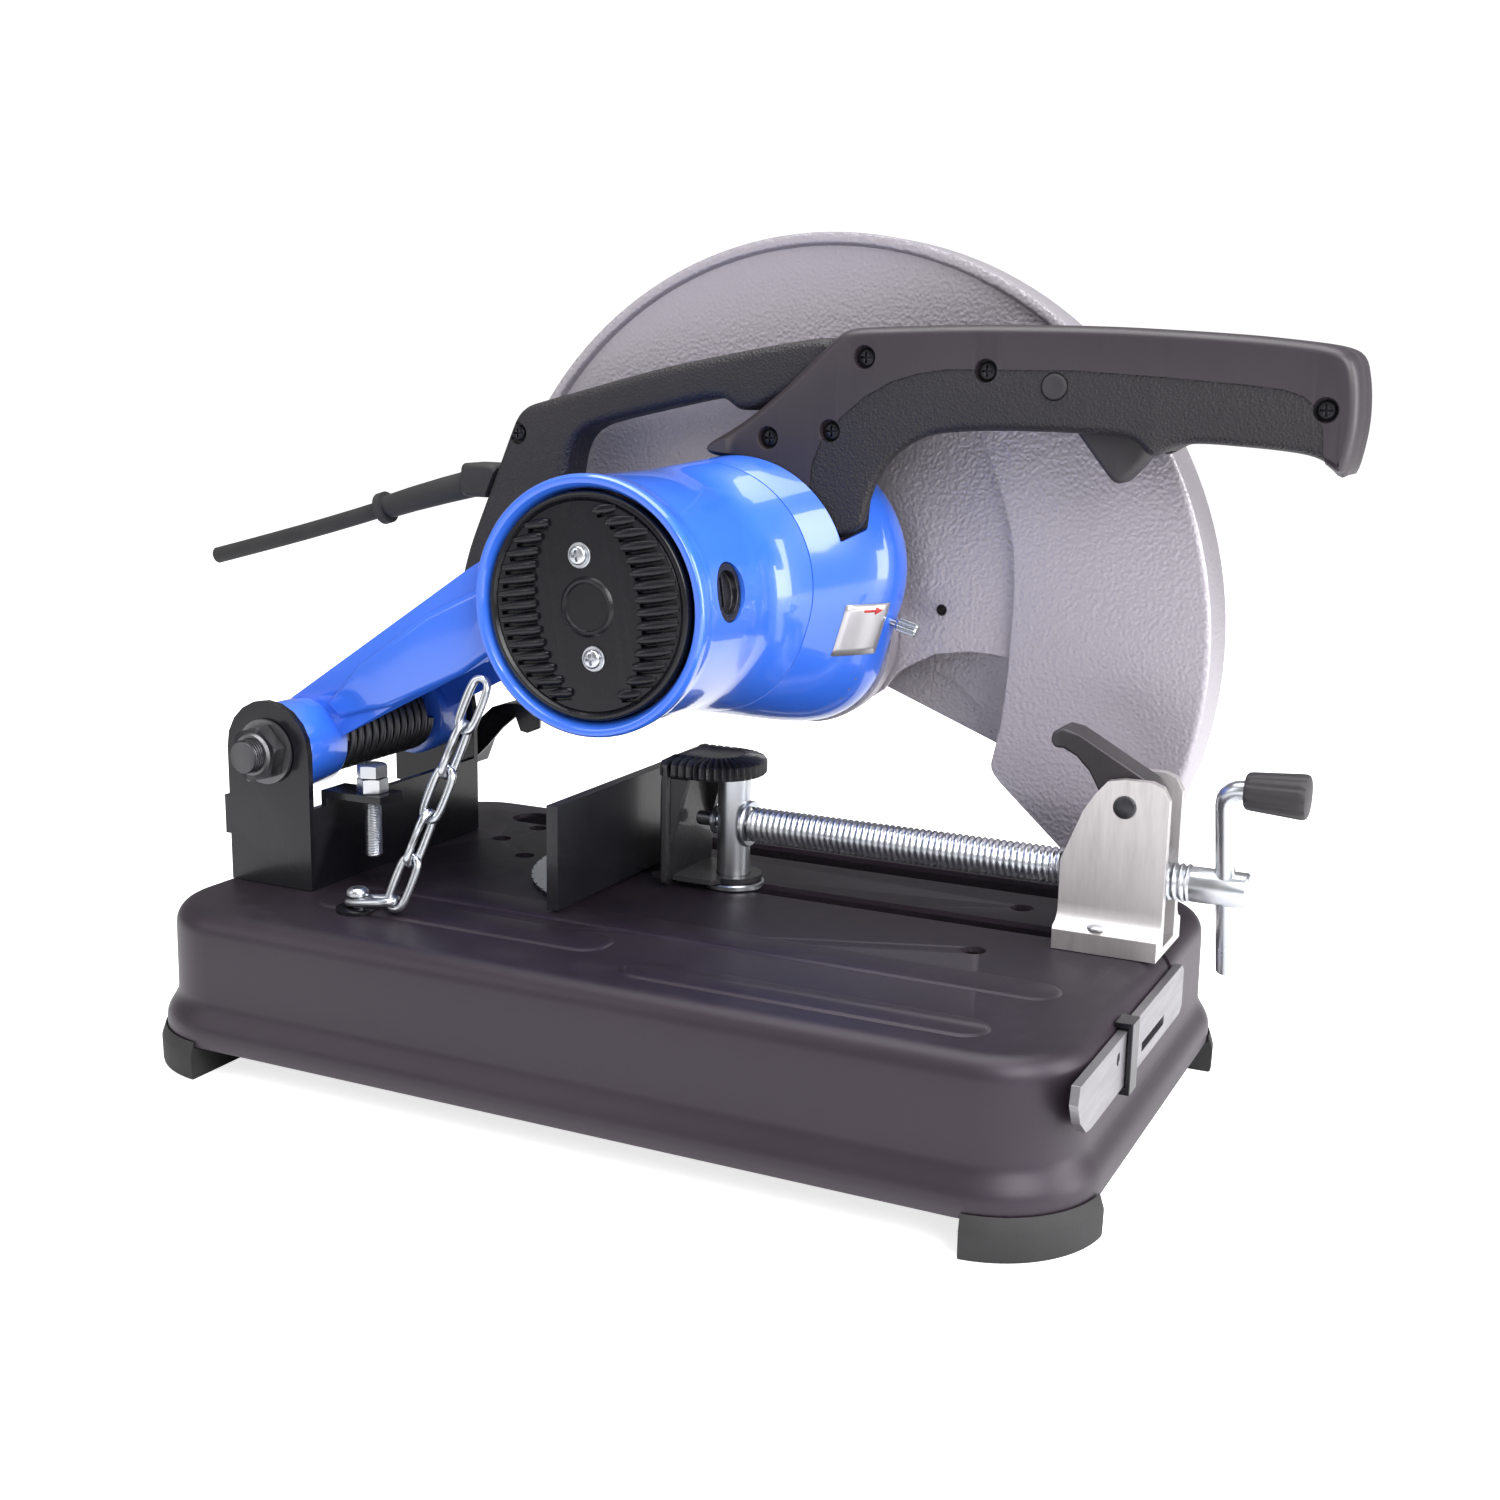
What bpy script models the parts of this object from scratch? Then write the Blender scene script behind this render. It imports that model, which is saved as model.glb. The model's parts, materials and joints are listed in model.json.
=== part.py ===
"""Abrasive chop saw with a chained-down head, screw vise and swivel fence.

All sizes below are in millimetres, and make_object turns them into metres.
Frame: origin on the floor under the middle of the base, +X towards the crank,
-Y towards the motor's rear face, +Z up. The head is in its locked-down position.
"""
import math

import bmesh
import bpy
from mathutils import Matrix, Vector

MM = 0.001
ORIGIN = Vector((-26.34, 0, 0))  # middle of the whole length, from the cable's end to the grip's
GAP = 0.3                      # clearance between neighbouring solids

# Base tray
BASE_LENGTH = 450
BASE_WIDTH = 272
BASE_TOP = 76.5
LIP_BOTTOM = 15
CORNER_RADIUS = 45
SHEET = 2.5
FOOT_REACH = 41
DECK = BASE_TOP + GAP          # level at which pieces stand on the tray

# Head pivot
PIVOT = (-187, 142)            # x, z
PIVOT_BOLT_RADIUS = 8
EAR_NEAR = -76                 # y of the bracket's outer faces
EAR_FAR = 63
EAR_SHEET = 3.5
BOSS_RADIUS = 21.5
BOSS_NEAR = (-71, -42)
BOSS_FAR = (35, 58)
BEAM_NEAR = -52
BEAM_FAR = 46

# Motor and gear train
MOTOR = (-21, 220.5)           # x, z of the armature's axis
SPINDLE = (24, 197.5)          # x, z of the wheel spindle's axis
MOTOR_REAR = -63
MOTOR_RADIUS = 56
MOTOR_BORE = 50.3
HOUSING_SPLIT = 24.5
CASE_END = 70
BRUSH_Y = -33
BRUSH_HOLE = 13.2
BRUSH_TILT = 7.7               # degrees above the horizontal
PINION_TEETH = 14
WHEEL_TEETH = 38
GEAR_START = 52
GEAR_END = 66

# Guards
GUARD_NEAR = 84
GUARD_FAR = 112
GUARD_RADIUS = 188.5
SWING_RADIUS = 192.7
GUARD_SHEET = 2

# Handle
HANDLE_NEAR = 37
HANDLE_SPLIT = 58
HANDLE_FAR = 79
TRIGGER_PIVOT = (160, 306)     # x, z

# Spindle lock pin
LOCK_Y = 63.5
LOCK_END = (64, 208.3)         # x, z
LOCK_WAY = (0.967, -0.254)
LOCK_BUTTON = (152, 317)       # x, z

# Vise and fence
SCREW_Y = 33
SCREW_Z = 108
SCREW_RADIUS = 8.5
POST_X = 5
CRANK_X = 240
CRANK_TILT = math.radians(18.2)
CRANK_ARM = 49.5
CRANK_TAIL = 43
ROD_RADIUS = 4.25
LEVER_PIN = (198, 141.5)       # x, z
FENCE_FACE = -42
FENCE_TOP = 127.5
FENCE_PIVOT = (-62, 62)        # x, y

# Transport chain
ANCHOR = (-126, -89)           # x, y of the screw that holds the chain
LINK_PITCH = 21.6
LINK_WIRE = 1.8
CHAIN_FOOT = (-105.3, -89.3, 82.1)
CHAIN_HEAD = (-76.5, -55, 189)
CHAIN_LINKS = 5

# Stop bolt
STOP = (-143, -54)             # x, y
TAB_TOP = 123

PARENTS = {}


def clear_scene():
    for item in list(bpy.data.objects):
        bpy.data.objects.remove(item, do_unlink=True)


def finish(name, colour, roughness, metallic):
    """A plain Principled material."""
    paint = bpy.data.materials.new(name)
    paint.use_nodes = True
    shader = paint.node_tree.nodes["Principled BSDF"]
    shader.inputs["Base Color"].default_value = (*colour, 1)
    shader.inputs["Roughness"].default_value = roughness
    shader.inputs["Metallic"].default_value = metallic
    return paint


def joint_empty(name, point):
    """An empty on a joint's axis; moving pieces are parented to it."""
    empty = bpy.data.objects.new("joint_" + name, None)
    empty.location = (Vector(point) - ORIGIN) * MM
    empty.empty_display_size = 0.02
    bpy.context.scene.collection.objects.link(empty)
    PARENTS[name] = empty


def make_object(name, shape, paint, body=None):
    """Turn a shape in millimetres into a named object, parented to its body's empty."""
    bmesh.ops.remove_doubles(shape, verts=shape.verts, dist=0.002)
    bmesh.ops.recalc_face_normals(shape, faces=shape.faces)
    origin = Vector((0, 0, 0))
    parent = PARENTS.get(body)
    if parent:
        origin = parent.location.copy()
    bmesh.ops.translate(shape, vec=-ORIGIN, verts=shape.verts)
    bmesh.ops.scale(shape, vec=(MM, MM, MM), verts=shape.verts)
    bmesh.ops.translate(shape, vec=-origin, verts=shape.verts)
    mesh = bpy.data.meshes.new(name)
    shape.to_mesh(mesh)
    shape.free()
    mesh.shade_smooth()
    mesh.set_sharp_from_angle(angle=math.radians(35))
    mesh.materials.append(paint)
    item = bpy.data.objects.new(name, mesh)
    bpy.context.scene.collection.objects.link(item)
    if parent:
        item.parent = parent
    return item


def lift(point, depth, axis):
    """Place a 2D outline point at a depth along an axis."""
    first, second = point
    if axis == "x":
        return (depth, first, second)
    if axis == "y":
        return (first, depth, second)
    return (first, second, depth)


def prism(outline, start, end, axis):
    """A closed outline extruded along an axis."""
    shape = bmesh.new()
    lower = [shape.verts.new(lift(point, start, axis)) for point in outline]
    upper = [shape.verts.new(lift(point, end, axis)) for point in outline]
    shape.faces.new(lower)
    shape.faces.new(upper)
    for index in range(len(outline)):
        after = (index + 1) % len(outline)
        shape.faces.new((lower[index], lower[after], upper[after], upper[index]))
    bmesh.ops.recalc_face_normals(shape, faces=shape.faces)
    return shape


def box(low, high):
    corners = [(low[0], low[1]), (high[0], low[1]), (high[0], high[1]), (low[0], high[1])]
    return prism(corners, low[2], high[2], "z")


def arc(centre, radius, start, end, steps):
    """Points on a circle from one angle to another, in degrees."""
    points = []
    for step in range(steps + 1):
        angle = math.radians(start + (end - start) * step / steps)
        points.append((centre[0] + radius * math.cos(angle), centre[1] + radius * math.sin(angle)))
    return points


def circle(centre, radius, steps):
    return arc(centre, radius, 0, 360, steps)[:-1]


def rod(centre, radius, start, end, axis, steps=24):
    return prism(circle(centre, radius, steps), start, end, axis)


def loft(rings, cap=True):
    """Skin between rings that hold the same number of points."""
    shape = bmesh.new()
    loops = [[shape.verts.new(point) for point in ring] for ring in rings]
    count = len(rings[0])
    if not cap:
        loops.append(loops[0])
    for before, after in zip(loops, loops[1:]):
        for index in range(count):
            right = (index + 1) % count
            shape.faces.new((before[index], before[right], after[right], after[index]))
    if cap:
        shape.faces.new(loops[0])
        shape.faces.new(loops[-1])
    bmesh.ops.recalc_face_normals(shape, faces=shape.faces)
    return shape


def turned(profile, centre, axis, steps=24):
    """A closed profile of (along, radius) points turned about an axis.

    A profile that starts and ends at radius 0 is a solid; otherwise it is a ring.
    """
    solid = profile[0][1] == 0
    inner = profile[1:-1] if solid else profile
    rings = []
    for along, radius in inner:
        rings.append([lift(point, along, axis) for point in circle(centre, radius, steps)])
    shape = loft(rings, cap=solid)
    return shape


def tube(path, radius, sides=8, closed=False):
    """A round wire along a path, with frames carried from point to point."""
    points = [Vector(point) for point in path]
    count = len(points)
    rings = []
    normal = None
    for index, point in enumerate(points):
        if closed:
            tangent = points[(index + 1) % count] - points[index - 1]
        else:
            tangent = points[min(index + 1, count - 1)] - points[max(index - 1, 0)]
        tangent.normalize()
        if normal is None:
            normal = tangent.orthogonal()
        normal = (normal - tangent * normal.dot(tangent)).normalized()
        side = tangent.cross(normal)
        ring = []
        for step in range(sides):
            angle = 2 * math.pi * step / sides
            ring.append(point + (normal * math.cos(angle) + side * math.sin(angle)) * radius)
        rings.append(ring)
    return loft(rings, cap=not closed)


def combine(first, second, operation):
    """Exact boolean of two closed shapes; both are used up."""
    holders = []
    for shape in (first, second):
        mesh = bpy.data.meshes.new("tool")
        shape.to_mesh(mesh)
        shape.free()
        holder = bpy.data.objects.new("tool", mesh)
        bpy.context.scene.collection.objects.link(holder)
        holders.append(holder)
    cutter = holders[0].modifiers.new("tool", "BOOLEAN")
    cutter.operation = operation
    cutter.solver = "EXACT"
    cutter.object = holders[1]
    graph = bpy.context.evaluated_depsgraph_get()
    mesh = bpy.data.meshes.new_from_object(holders[0].evaluated_get(graph))
    result = bmesh.new()
    result.from_mesh(mesh)
    for holder in holders:
        bpy.data.objects.remove(holder, do_unlink=True)
    bmesh.ops.remove_doubles(result, verts=result.verts, dist=0.002)
    return result


def cut(shape, *tools):
    for tool in tools:
        shape = combine(shape, tool, "DIFFERENCE")
    return shape


def join(shape, *others):
    for other in others:
        shape = combine(shape, other, "UNION")
    return shape


def rounded_rectangle(half_x, half_y, radius, steps=5):
    points = []
    corners = ((1, 1, 0), (-1, 1, 90), (-1, -1, 180), (1, -1, 270))
    for side_x, side_y, start in corners:
        centre = (side_x * (half_x - radius), side_y * (half_y - radius))
        points += arc(centre, radius, start, start + 90, steps)
    return points


def hexagon(centre, corner_radius, turn=0):
    return arc(centre, corner_radius, turn, turn + 300, 5)


def hull_ring(circles, depth, steps=48):
    """Outline around several circles (x, z, radius), sampled by outward direction."""
    ring = []
    for step in range(steps):
        angle = 2 * math.pi * step / steps
        way = (math.cos(angle), math.sin(angle))
        x, z, radius = max(circles, key=lambda item: item[0] * way[0] + item[1] * way[1] + item[2])
        ring.append((x + radius * way[0], depth, z + radius * way[1]))
    return ring


def housing_ring(depth):
    """The blue housing's section: round at the rear, swelling to the gearcase."""
    share = min(max((depth + 35) / (CASE_END - 4 + 35), 0), 1)
    share = share * share * (3 - 2 * share)
    tube_ring = hull_ring([(*MOTOR, MOTOR_RADIUS)], depth)
    upper_ring = hull_ring([(*MOTOR, MOTOR_RADIUS), (19, 230, 57)], depth)
    full_ring = hull_ring([(*MOTOR, MOTOR_RADIUS), (19, 230, 57), (*SPINDLE, 43)], depth)
    ring = []
    for plain, upper, full in zip(tube_ring, upper_ring, full_ring):
        point = Vector(plain).lerp(Vector(upper), share)
        ring.append(point + (Vector(full) - Vector(upper)) * share ** 3)
    return ring


# ---------------------------------------------------------------- base

def tray_ring(height, inset):
    radius = max(CORNER_RADIUS - inset, 8)
    points = rounded_rectangle(BASE_LENGTH / 2 - inset, BASE_WIDTH / 2 - inset, radius)
    return [(x, y, height) for x, y in points]


def base_tray(paint):
    outside = ((BASE_TOP, 16), (73, 9), (67, 6.5), (33, 6), (27, 3), (21, 0), (LIP_BOTTOM, 0))
    inside = ((LIP_BOTTOM, 2.5), (20.5, 2.5), (26.5, 5.5), (32.5, 8.5), (65.5, 9), (71, 11.5))
    rings = [tray_ring(height, inset) for height, inset in outside + inside]
    rings.append(tray_ring(BASE_TOP - SHEET, 17.5))
    tray = loft(rings)
    below = BASE_TOP - 9
    above = BASE_TOP + 3
    wheel_slot = prism(arc((-151, 98), 11, 90, 270, 6) + arc((160, 98), 11, -90, 90, 6), below, above, "z")
    guide_slot = prism(arc((-32, 33.5), 8, 90, 270, 6) + arc((196, 33.5), 8, -90, 90, 6), below, above, "z")
    tray = cut(tray, wheel_slot, guide_slot)
    for x, y, radius in ((141, 64, 5.5), (142, -8, 5.5), (-141, 52, 5), (-112, 29, 5), (-136, 80, 5)):
        tray = cut(tray, rod((x, y), radius, below, above, "z", 16))
    tray = cut(tray, rod(ANCHOR, 2.7, below, above, "z", 16))
    tray = cut(tray, rod(FENCE_PIVOT, 4.1, below, above, "z", 16))
    tray = cut(tray, box((205, 30, 63), (222, 34.5, 80)))
    make_object("base_tray", tray, paint)


def foot(name, side_x, side_y, paint):
    """A corner foot: a block under the tray's corner with a lip that wraps outside it."""
    corner = (BASE_LENGTH / 2 - CORNER_RADIUS, BASE_WIDTH / 2 - CORNER_RADIUS)
    inner = (BASE_LENGTH / 2 - FOOT_REACH, BASE_WIDTH / 2 - FOOT_REACH)
    levels = ((2.5, 0), (2.7, 12.5), (0.9, 18), (GAP, 18), (GAP, LIP_BOTTOM - GAP))
    shape = bmesh.new()
    loops = []
    for offset, height in levels:
        points = arc(corner, CORNER_RADIUS + offset, 85, 5, 8)
        loops.append([shape.verts.new((side_x * x, side_y * y, height)) for x, y in points])
    low = shape.verts.new((side_x * inner[0], side_y * inner[1], 0))
    high = shape.verts.new((side_x * inner[0], side_y * inner[1], LIP_BOTTOM - GAP))
    for before, after in zip(loops, loops[1:]):
        for index in range(len(before) - 1):
            shape.faces.new((before[index], before[index + 1], after[index + 1], after[index]))
    shape.faces.new([low] + loops[0])
    shape.faces.new([high] + loops[-1])
    for end in (0, -1):
        shape.faces.new([low] + [loop[end] for loop in loops] + [high])
    make_object(name, shape, paint)


def feet(paint):
    for name, side_x, side_y in (("foot_front_near", 1, -1), ("foot_front_far", 1, 1),
                                 ("foot_rear_near", -1, -1), ("foot_rear_far", -1, 1)):
        foot(name, side_x, side_y, paint)


# ---------------------------------------------------------------- head pivot

def pivot_bracket(paint):
    x, z = PIVOT
    outline = [(x + 24, DECK)] + arc(PIVOT, 24, 0, 180, 10)
    outline += [(x - 24, 118), (x - 27, 118), (x - 27, 99), (x - 24, 99), (x - 24, DECK)]
    near = prism(outline, EAR_NEAR, EAR_NEAR + EAR_SHEET, "y")
    far = prism(outline, EAR_FAR - EAR_SHEET, EAR_FAR, "y")
    web = box((x + 24 - EAR_SHEET, EAR_NEAR, DECK), (x + 24, EAR_FAR, 116))
    neck = box((x + 24 - EAR_SHEET, STOP[1] - 9, 110), (x + 24, STOP[1] + 9, TAB_TOP))
    tab = box((x + 24 - EAR_SHEET, STOP[1] - 9, TAB_TOP - 3.5), (STOP[0] + 11, STOP[1] + 9, TAB_TOP))
    bracket = join(near, web, far, neck, tab)
    bore = rod(PIVOT, PIVOT_BOLT_RADIUS + 0.1, -90, 90, "y")
    bracket = cut(bracket, bore, rod(STOP, 4.1, 100, 140, "z", 16))
    make_object("pivot_bracket", bracket, paint)


def pivot_fasteners(paint):
    head = prism(hexagon(PIVOT, 13.9, 10), EAR_FAR + GAP, EAR_FAR + 10, "y")
    stem = turned([(-93, 0), (-93, 6.8), (-91.5, PIVOT_BOLT_RADIUS), (EAR_FAR + 5, PIVOT_BOLT_RADIUS),
                   (EAR_FAR + 5, 0)], PIVOT, "y")
    make_object("pivot_bolt", join(head, stem), paint)
    nut = prism(hexagon(PIVOT, 13.9, 15), -86, EAR_NEAR - 1.5, "y")
    washer = rod(PIVOT, 15.5, EAR_NEAR - 2, EAR_NEAR - GAP, "y")
    nut = cut(join(nut, washer), rod(PIVOT, PIVOT_BOLT_RADIUS + 0.1, -95, -70, "y"))
    make_object("pivot_nut", nut, paint)


def stop_bolt(bolt_paint):
    head = prism(hexagon(STOP, 7.5, 20), 130.6, 136.6, "z")
    stem = rod(STOP, 4, 92, 132, "z", 16)
    make_object("stop_bolt", join(head, stem), bolt_paint, "stop")
    nut = prism(hexagon(STOP, 7.5, 20), TAB_TOP + GAP, 130.2, "z")
    make_object("stop_lock_nut", cut(nut, rod(STOP, 4.1, 120, 132, "z", 16)), bolt_paint)


def torsion_spring(paint):
    turns = 12
    steps = 9
    coil = []
    for step in range(turns * steps + 1):
        angle = 2 * math.pi * step / steps
        depth = -38.5 + 70 * step / (turns * steps)
        coil.append((PIVOT[0] + 16.3 * math.cos(angle), depth, PIVOT[1] + 16.3 * math.sin(angle)))
    make_object("torsion_spring", tube(coil, 2.1, 5), paint)


# ---------------------------------------------------------------- head castings

def gear_pocket():
    """The room for the gear pair, open towards the guard."""
    ring = hull_ring([(*MOTOR, 17), (*SPINDLE, 40.5)], 50, 40)
    return loft([ring, [(x, CASE_END + 1, z) for x, _, z in ring]])


def arm(paint):
    top_and_end = [(-198, 160.5), (-92, 231), (-60, 250), (-20, 262)]
    underside = [(-20, 190), (-82, 190), (-166, 146), (-176, 140), (-200, 150)]
    beam = prism(top_and_end + underside, BEAM_NEAR, BEAM_FAR, "y")
    hollow = [(-176, 158), (-168, 169), (-96, 217), (-84, 217), (-84, 150), (-176, 120)]
    beam = cut(beam, prism(hollow, BEAM_NEAR + 5, BEAM_FAR - 5, "y"))
    for near, far in (BOSS_NEAR, BOSS_FAR):
        beam = join(beam, rod(PIVOT, BOSS_RADIUS, near, far, "y", 32))
    beam = cut(beam, rod(PIVOT, 20.2, BOSS_NEAR[1] + GAP, BOSS_FAR[0] - GAP, "y", 24))
    beam = cut(beam, rod(MOTOR, MOTOR_RADIUS + 1, MOTOR_REAR - 5, HOUSING_SPLIT - 2, "y", 48))
    case = loft([housing_ring(depth) for depth in (HOUSING_SPLIT, 40, 55, CASE_END)])
    arm_shape = join(beam, case)
    collar = loft([housing_ring(0), housing_ring(HOUSING_SPLIT + 0.01)])
    for point in collar.verts:
        point.co.x = MOTOR[0] + (point.co.x - MOTOR[0]) * 1.012
        point.co.z = MOTOR[1] + (point.co.z - MOTOR[1]) * 1.012
    arm_shape = cut(arm_shape, collar, gear_pocket())
    arm_shape = cut(arm_shape, rod(MOTOR, 14.3, HOUSING_SPLIT - 5, 52, "y", 32))
    arm_shape = cut(arm_shape, rod(SPINDLE, 6.1, 38, 52, "y", 24))
    arm_shape = cut(arm_shape, rod(PIVOT, PIVOT_BOLT_RADIUS + 0.08, -90, 90, "y", 24))
    leg = grow(handle_outline(HANDLE_NEAR), 0.5)
    arm_shape = cut(arm_shape, prism(leg, HANDLE_NEAR - 0.5, HANDLE_FAR, "y"))
    arm_shape = cut(arm_shape, lock_tool([(-8, 0), (-8, 2.1), (20, 2.1), (20, 0)]))
    make_object("arm_casting", arm_shape, paint, "head")


def motor_housing(paint):
    depths = (MOTOR_REAR, MOTOR_REAR + 1.5, MOTOR_REAR + 7, MOTOR_REAR + 8.5, -35, -10, 10, HOUSING_SPLIT - GAP)
    rings = []
    for index, depth in enumerate(depths):
        swell = 1.2 if index in (1, 2) else 0
        ring = []
        for point in housing_ring(depth):
            way = Vector((point.x - MOTOR[0], 0, point.z - MOTOR[1])).normalized()
            ring.append(point + way * swell)
        rings.append(ring)
    bore = hull_ring([(*MOTOR, MOTOR_BORE)], 0)
    rings.append([(x, HOUSING_SPLIT - GAP, z) for x, _, z in bore])
    rings.append([(x, MOTOR_REAR, z) for x, _, z in bore])
    shell = loft(rings, cap=False)
    for start, end in ((-90, -50), (10, 60)):
        tool = rod((BRUSH_Y, MOTOR[1]), BRUSH_HOLE, start, end, "x", 24)
        shell = cut(shell, tilt_brush(tool))
    make_object("motor_housing", shell, paint, "head")


def motor_end_cover(paint):
    plate = turned([(-61, 0), (-61, 49.8), (-57.5, 49.8), (-57.5, 15), (-50, 15), (-50, 11.3),
                    (-56.6, 11.3), (-56.6, 0)], MOTOR, "y", 40)
    for side in (-1, 1):
        for row in range(7):
            height = MOTOR[1] + (row - 3) * 9.5
            reach = math.sqrt(45 ** 2 - (height - MOTOR[1]) ** 2)
            inner = MOTOR[0] + side * 18
            outer = MOTOR[0] + side * reach
            slot = box((min(inner, outer), -65, height - 2), (max(inner, outer), -54, height + 2))
            plate = cut(plate, slot)
    make_object("motor_end_cover", plate, paint, "head")


def tilt_brush(shape):
    """Turn a shape about the motor's axis, so both brushes lie on one tilted line."""
    spin = Matrix.Rotation(-math.radians(BRUSH_TILT), 3, "Y")
    bmesh.ops.rotate(shape, cent=(MOTOR[0], 0, MOTOR[1]), matrix=spin, verts=shape.verts)
    return shape


def brush_cap(name, side, paint):
    centre = (BRUSH_Y, MOTOR[1])
    profile = [(45, 0), (45, 7), (50.8, 7), (50.8, BRUSH_HOLE - GAP), (54.2, BRUSH_HOLE - GAP), (54.2, 9.6),
               (51.4, 9), (51.4, 0)]
    cap = turned([(MOTOR[0] + side * along, radius) for along, radius in profile], centre, "x", 24)
    face = MOTOR[0] + side * 51.4
    groove = box((face - 1.6, BRUSH_Y - 0.9, MOTOR[1] - 6.5), (face + 1.6, BRUSH_Y + 0.9, MOTOR[1] + 6.5))
    make_object("brush_cap_" + name, tilt_brush(cut(cap, groove)), paint, "head")


def gearcase_cover(paint):
    plate = loft([hull_ring([(*MOTOR, 20), (*SPINDLE, 44.2)], depth, 40) for depth in (CASE_END + GAP, 74.5)])
    drum = turned([(74, 0), (74, 44.2), (81.5, 44.2), (83.6, 41), (83.6, 0)], SPINDLE, "y", 40)
    cover = cut(join(plate, drum), rod(SPINDLE, 14.3, 66, 90, "y", 32))
    make_object("gearcase_cover", cover, paint, "head")


# ---------------------------------------------------------------- motor internals

def bearing(name, centre, outer, inner, start, end, paint, body):
    shape = turned([(start, outer), (end, outer), (end, inner), (start, inner)], centre, "y", 24)
    make_object(name, shape, paint, body)


def stator(paint):
    ring = turned([(-18, 50), (14, 50), (14, 28.5), (-18, 28.5)], MOTOR, "y", 40)
    make_object("stator", ring, paint, "head")


def armature(paint):
    profile = [(-56, 0), (-56, 5), (-45, 5), (-45, 16), (-27, 16), (-27, 9), (-20, 9), (-20, 27), (13, 27),
               (13, 8), (30, 8), (30, 6), (66.5, 6), (66.5, 0)]
    make_object("armature", turned(profile, MOTOR, "y", 32), paint, "armature")


def cooling_fan(paint):
    blades = 9
    outline = []
    for blade in range(blades):
        start = 360 * blade / blades
        outline += arc(MOTOR, 16, start, start + 24, 2)
        outline += [arc(MOTOR, 40, start + 30, start + 36, 1)[0], arc(MOTOR, 40, start + 30, start + 36, 1)[1]]
    disc = rod(MOTOR, 41, 15.5, 17.5, "y", 36)
    fan = cut(join(disc, prism(outline, 17, 23, "y")), rod(MOTOR, 8.1, 10, 30, "y", 24))
    make_object("cooling_fan", fan, paint, "armature")


def gear_outline(centre, teeth, module, turn, points=3):
    """Involute teeth with a little backlash; turn is the angle of a tooth's middle."""
    pitch = module * teeth / 2
    base = pitch * math.cos(math.radians(20))
    tip = pitch + module * 0.9
    root = pitch - module * 1.15
    half_tooth = math.pi / (2 * teeth) - 0.12 / pitch
    roll = math.radians(20)
    half_base = half_tooth + math.tan(roll) - roll
    outline = []
    for tooth in range(teeth):
        middle = turn + 2 * math.pi * tooth / teeth
        flank = []
        for step in range(points):
            radius = max(base, root) + (tip - max(base, root)) * step / (points - 1)
            pressure = math.acos(min(base / radius, 1))
            flank.append((radius, half_base - (math.tan(pressure) - pressure)))
        foot_angle = flank[0][1]
        outline.append((root, middle - foot_angle))
        outline += [(radius, middle - angle) for radius, angle in flank]
        outline += [(radius, middle + angle) for radius, angle in reversed(flank)]
        outline.append((root, middle + foot_angle))
    return [(centre[0] + r * math.cos(a), centre[1] + r * math.sin(a)) for r, a in outline]


def gears(paint):
    offset = Vector((MOTOR[0] - SPINDLE[0], MOTOR[1] - SPINDLE[1]))
    module = 2 * offset.length / (PINION_TEETH + WHEEL_TEETH)
    towards_pinion = math.atan2(offset.y, offset.x)
    wheel = gear_outline(SPINDLE, WHEEL_TEETH, module, towards_pinion)
    wheel = prism(wheel, GEAR_START, GEAR_END, "y")
    wheel = cut(wheel, rod(SPINDLE, 8.1, GEAR_START - 5, GEAR_END + 5, "y", 24))
    make_object("drive_gear", wheel, paint, "spindle")
    half_pitch = math.pi / PINION_TEETH
    pinion = gear_outline(MOTOR, PINION_TEETH, module, towards_pinion + math.pi + half_pitch)
    pinion = prism(pinion, GEAR_START, GEAR_END, "y")
    pinion = cut(pinion, rod(MOTOR, 6.1, GEAR_START - 5, GEAR_END + 5, "y", 24))
    make_object("pinion", pinion, paint, "armature")


def spindle_parts(paint):
    profile = [(40, 0), (40, 6), (51, 6), (51, 8), (67, 8), (67, 7), (84.5, 7), (84.5, 11), (88, 11),
               (88, 6), (94, 6), (94, 0)]
    make_object("spindle", turned(profile, SPINDLE, "y", 24), paint, "spindle")
    inner = turned([(88.3, 30), (91, 30), (93, 26), (93, 6.1), (88.3, 6.1)], SPINDLE, "y", 32)
    make_object("inner_flange", inner, paint, "spindle")
    outer = turned([(94.4, 26), (96, 30), (99, 30), (99, 5.2), (94.4, 5.2)], SPINDLE, "y", 32)
    make_object("outer_flange", outer, paint, "spindle")
    head = prism(hexagon(SPINDLE, 9.8), 99.3, 105.5, "y")
    stem = rod(SPINDLE, 5, 94.3, 101, "y", 20)
    make_object("wheel_bolt", join(head, stem), paint, "spindle")


# ---------------------------------------------------------------- guards

def guard_band(radius, start, end, near, far, steps):
    outer = arc(SPINDLE, radius, start, end, steps)
    inner = arc(SPINDLE, radius - GUARD_SHEET, end, start, steps)
    return prism(outer + inner, near, far, "y")


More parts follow.
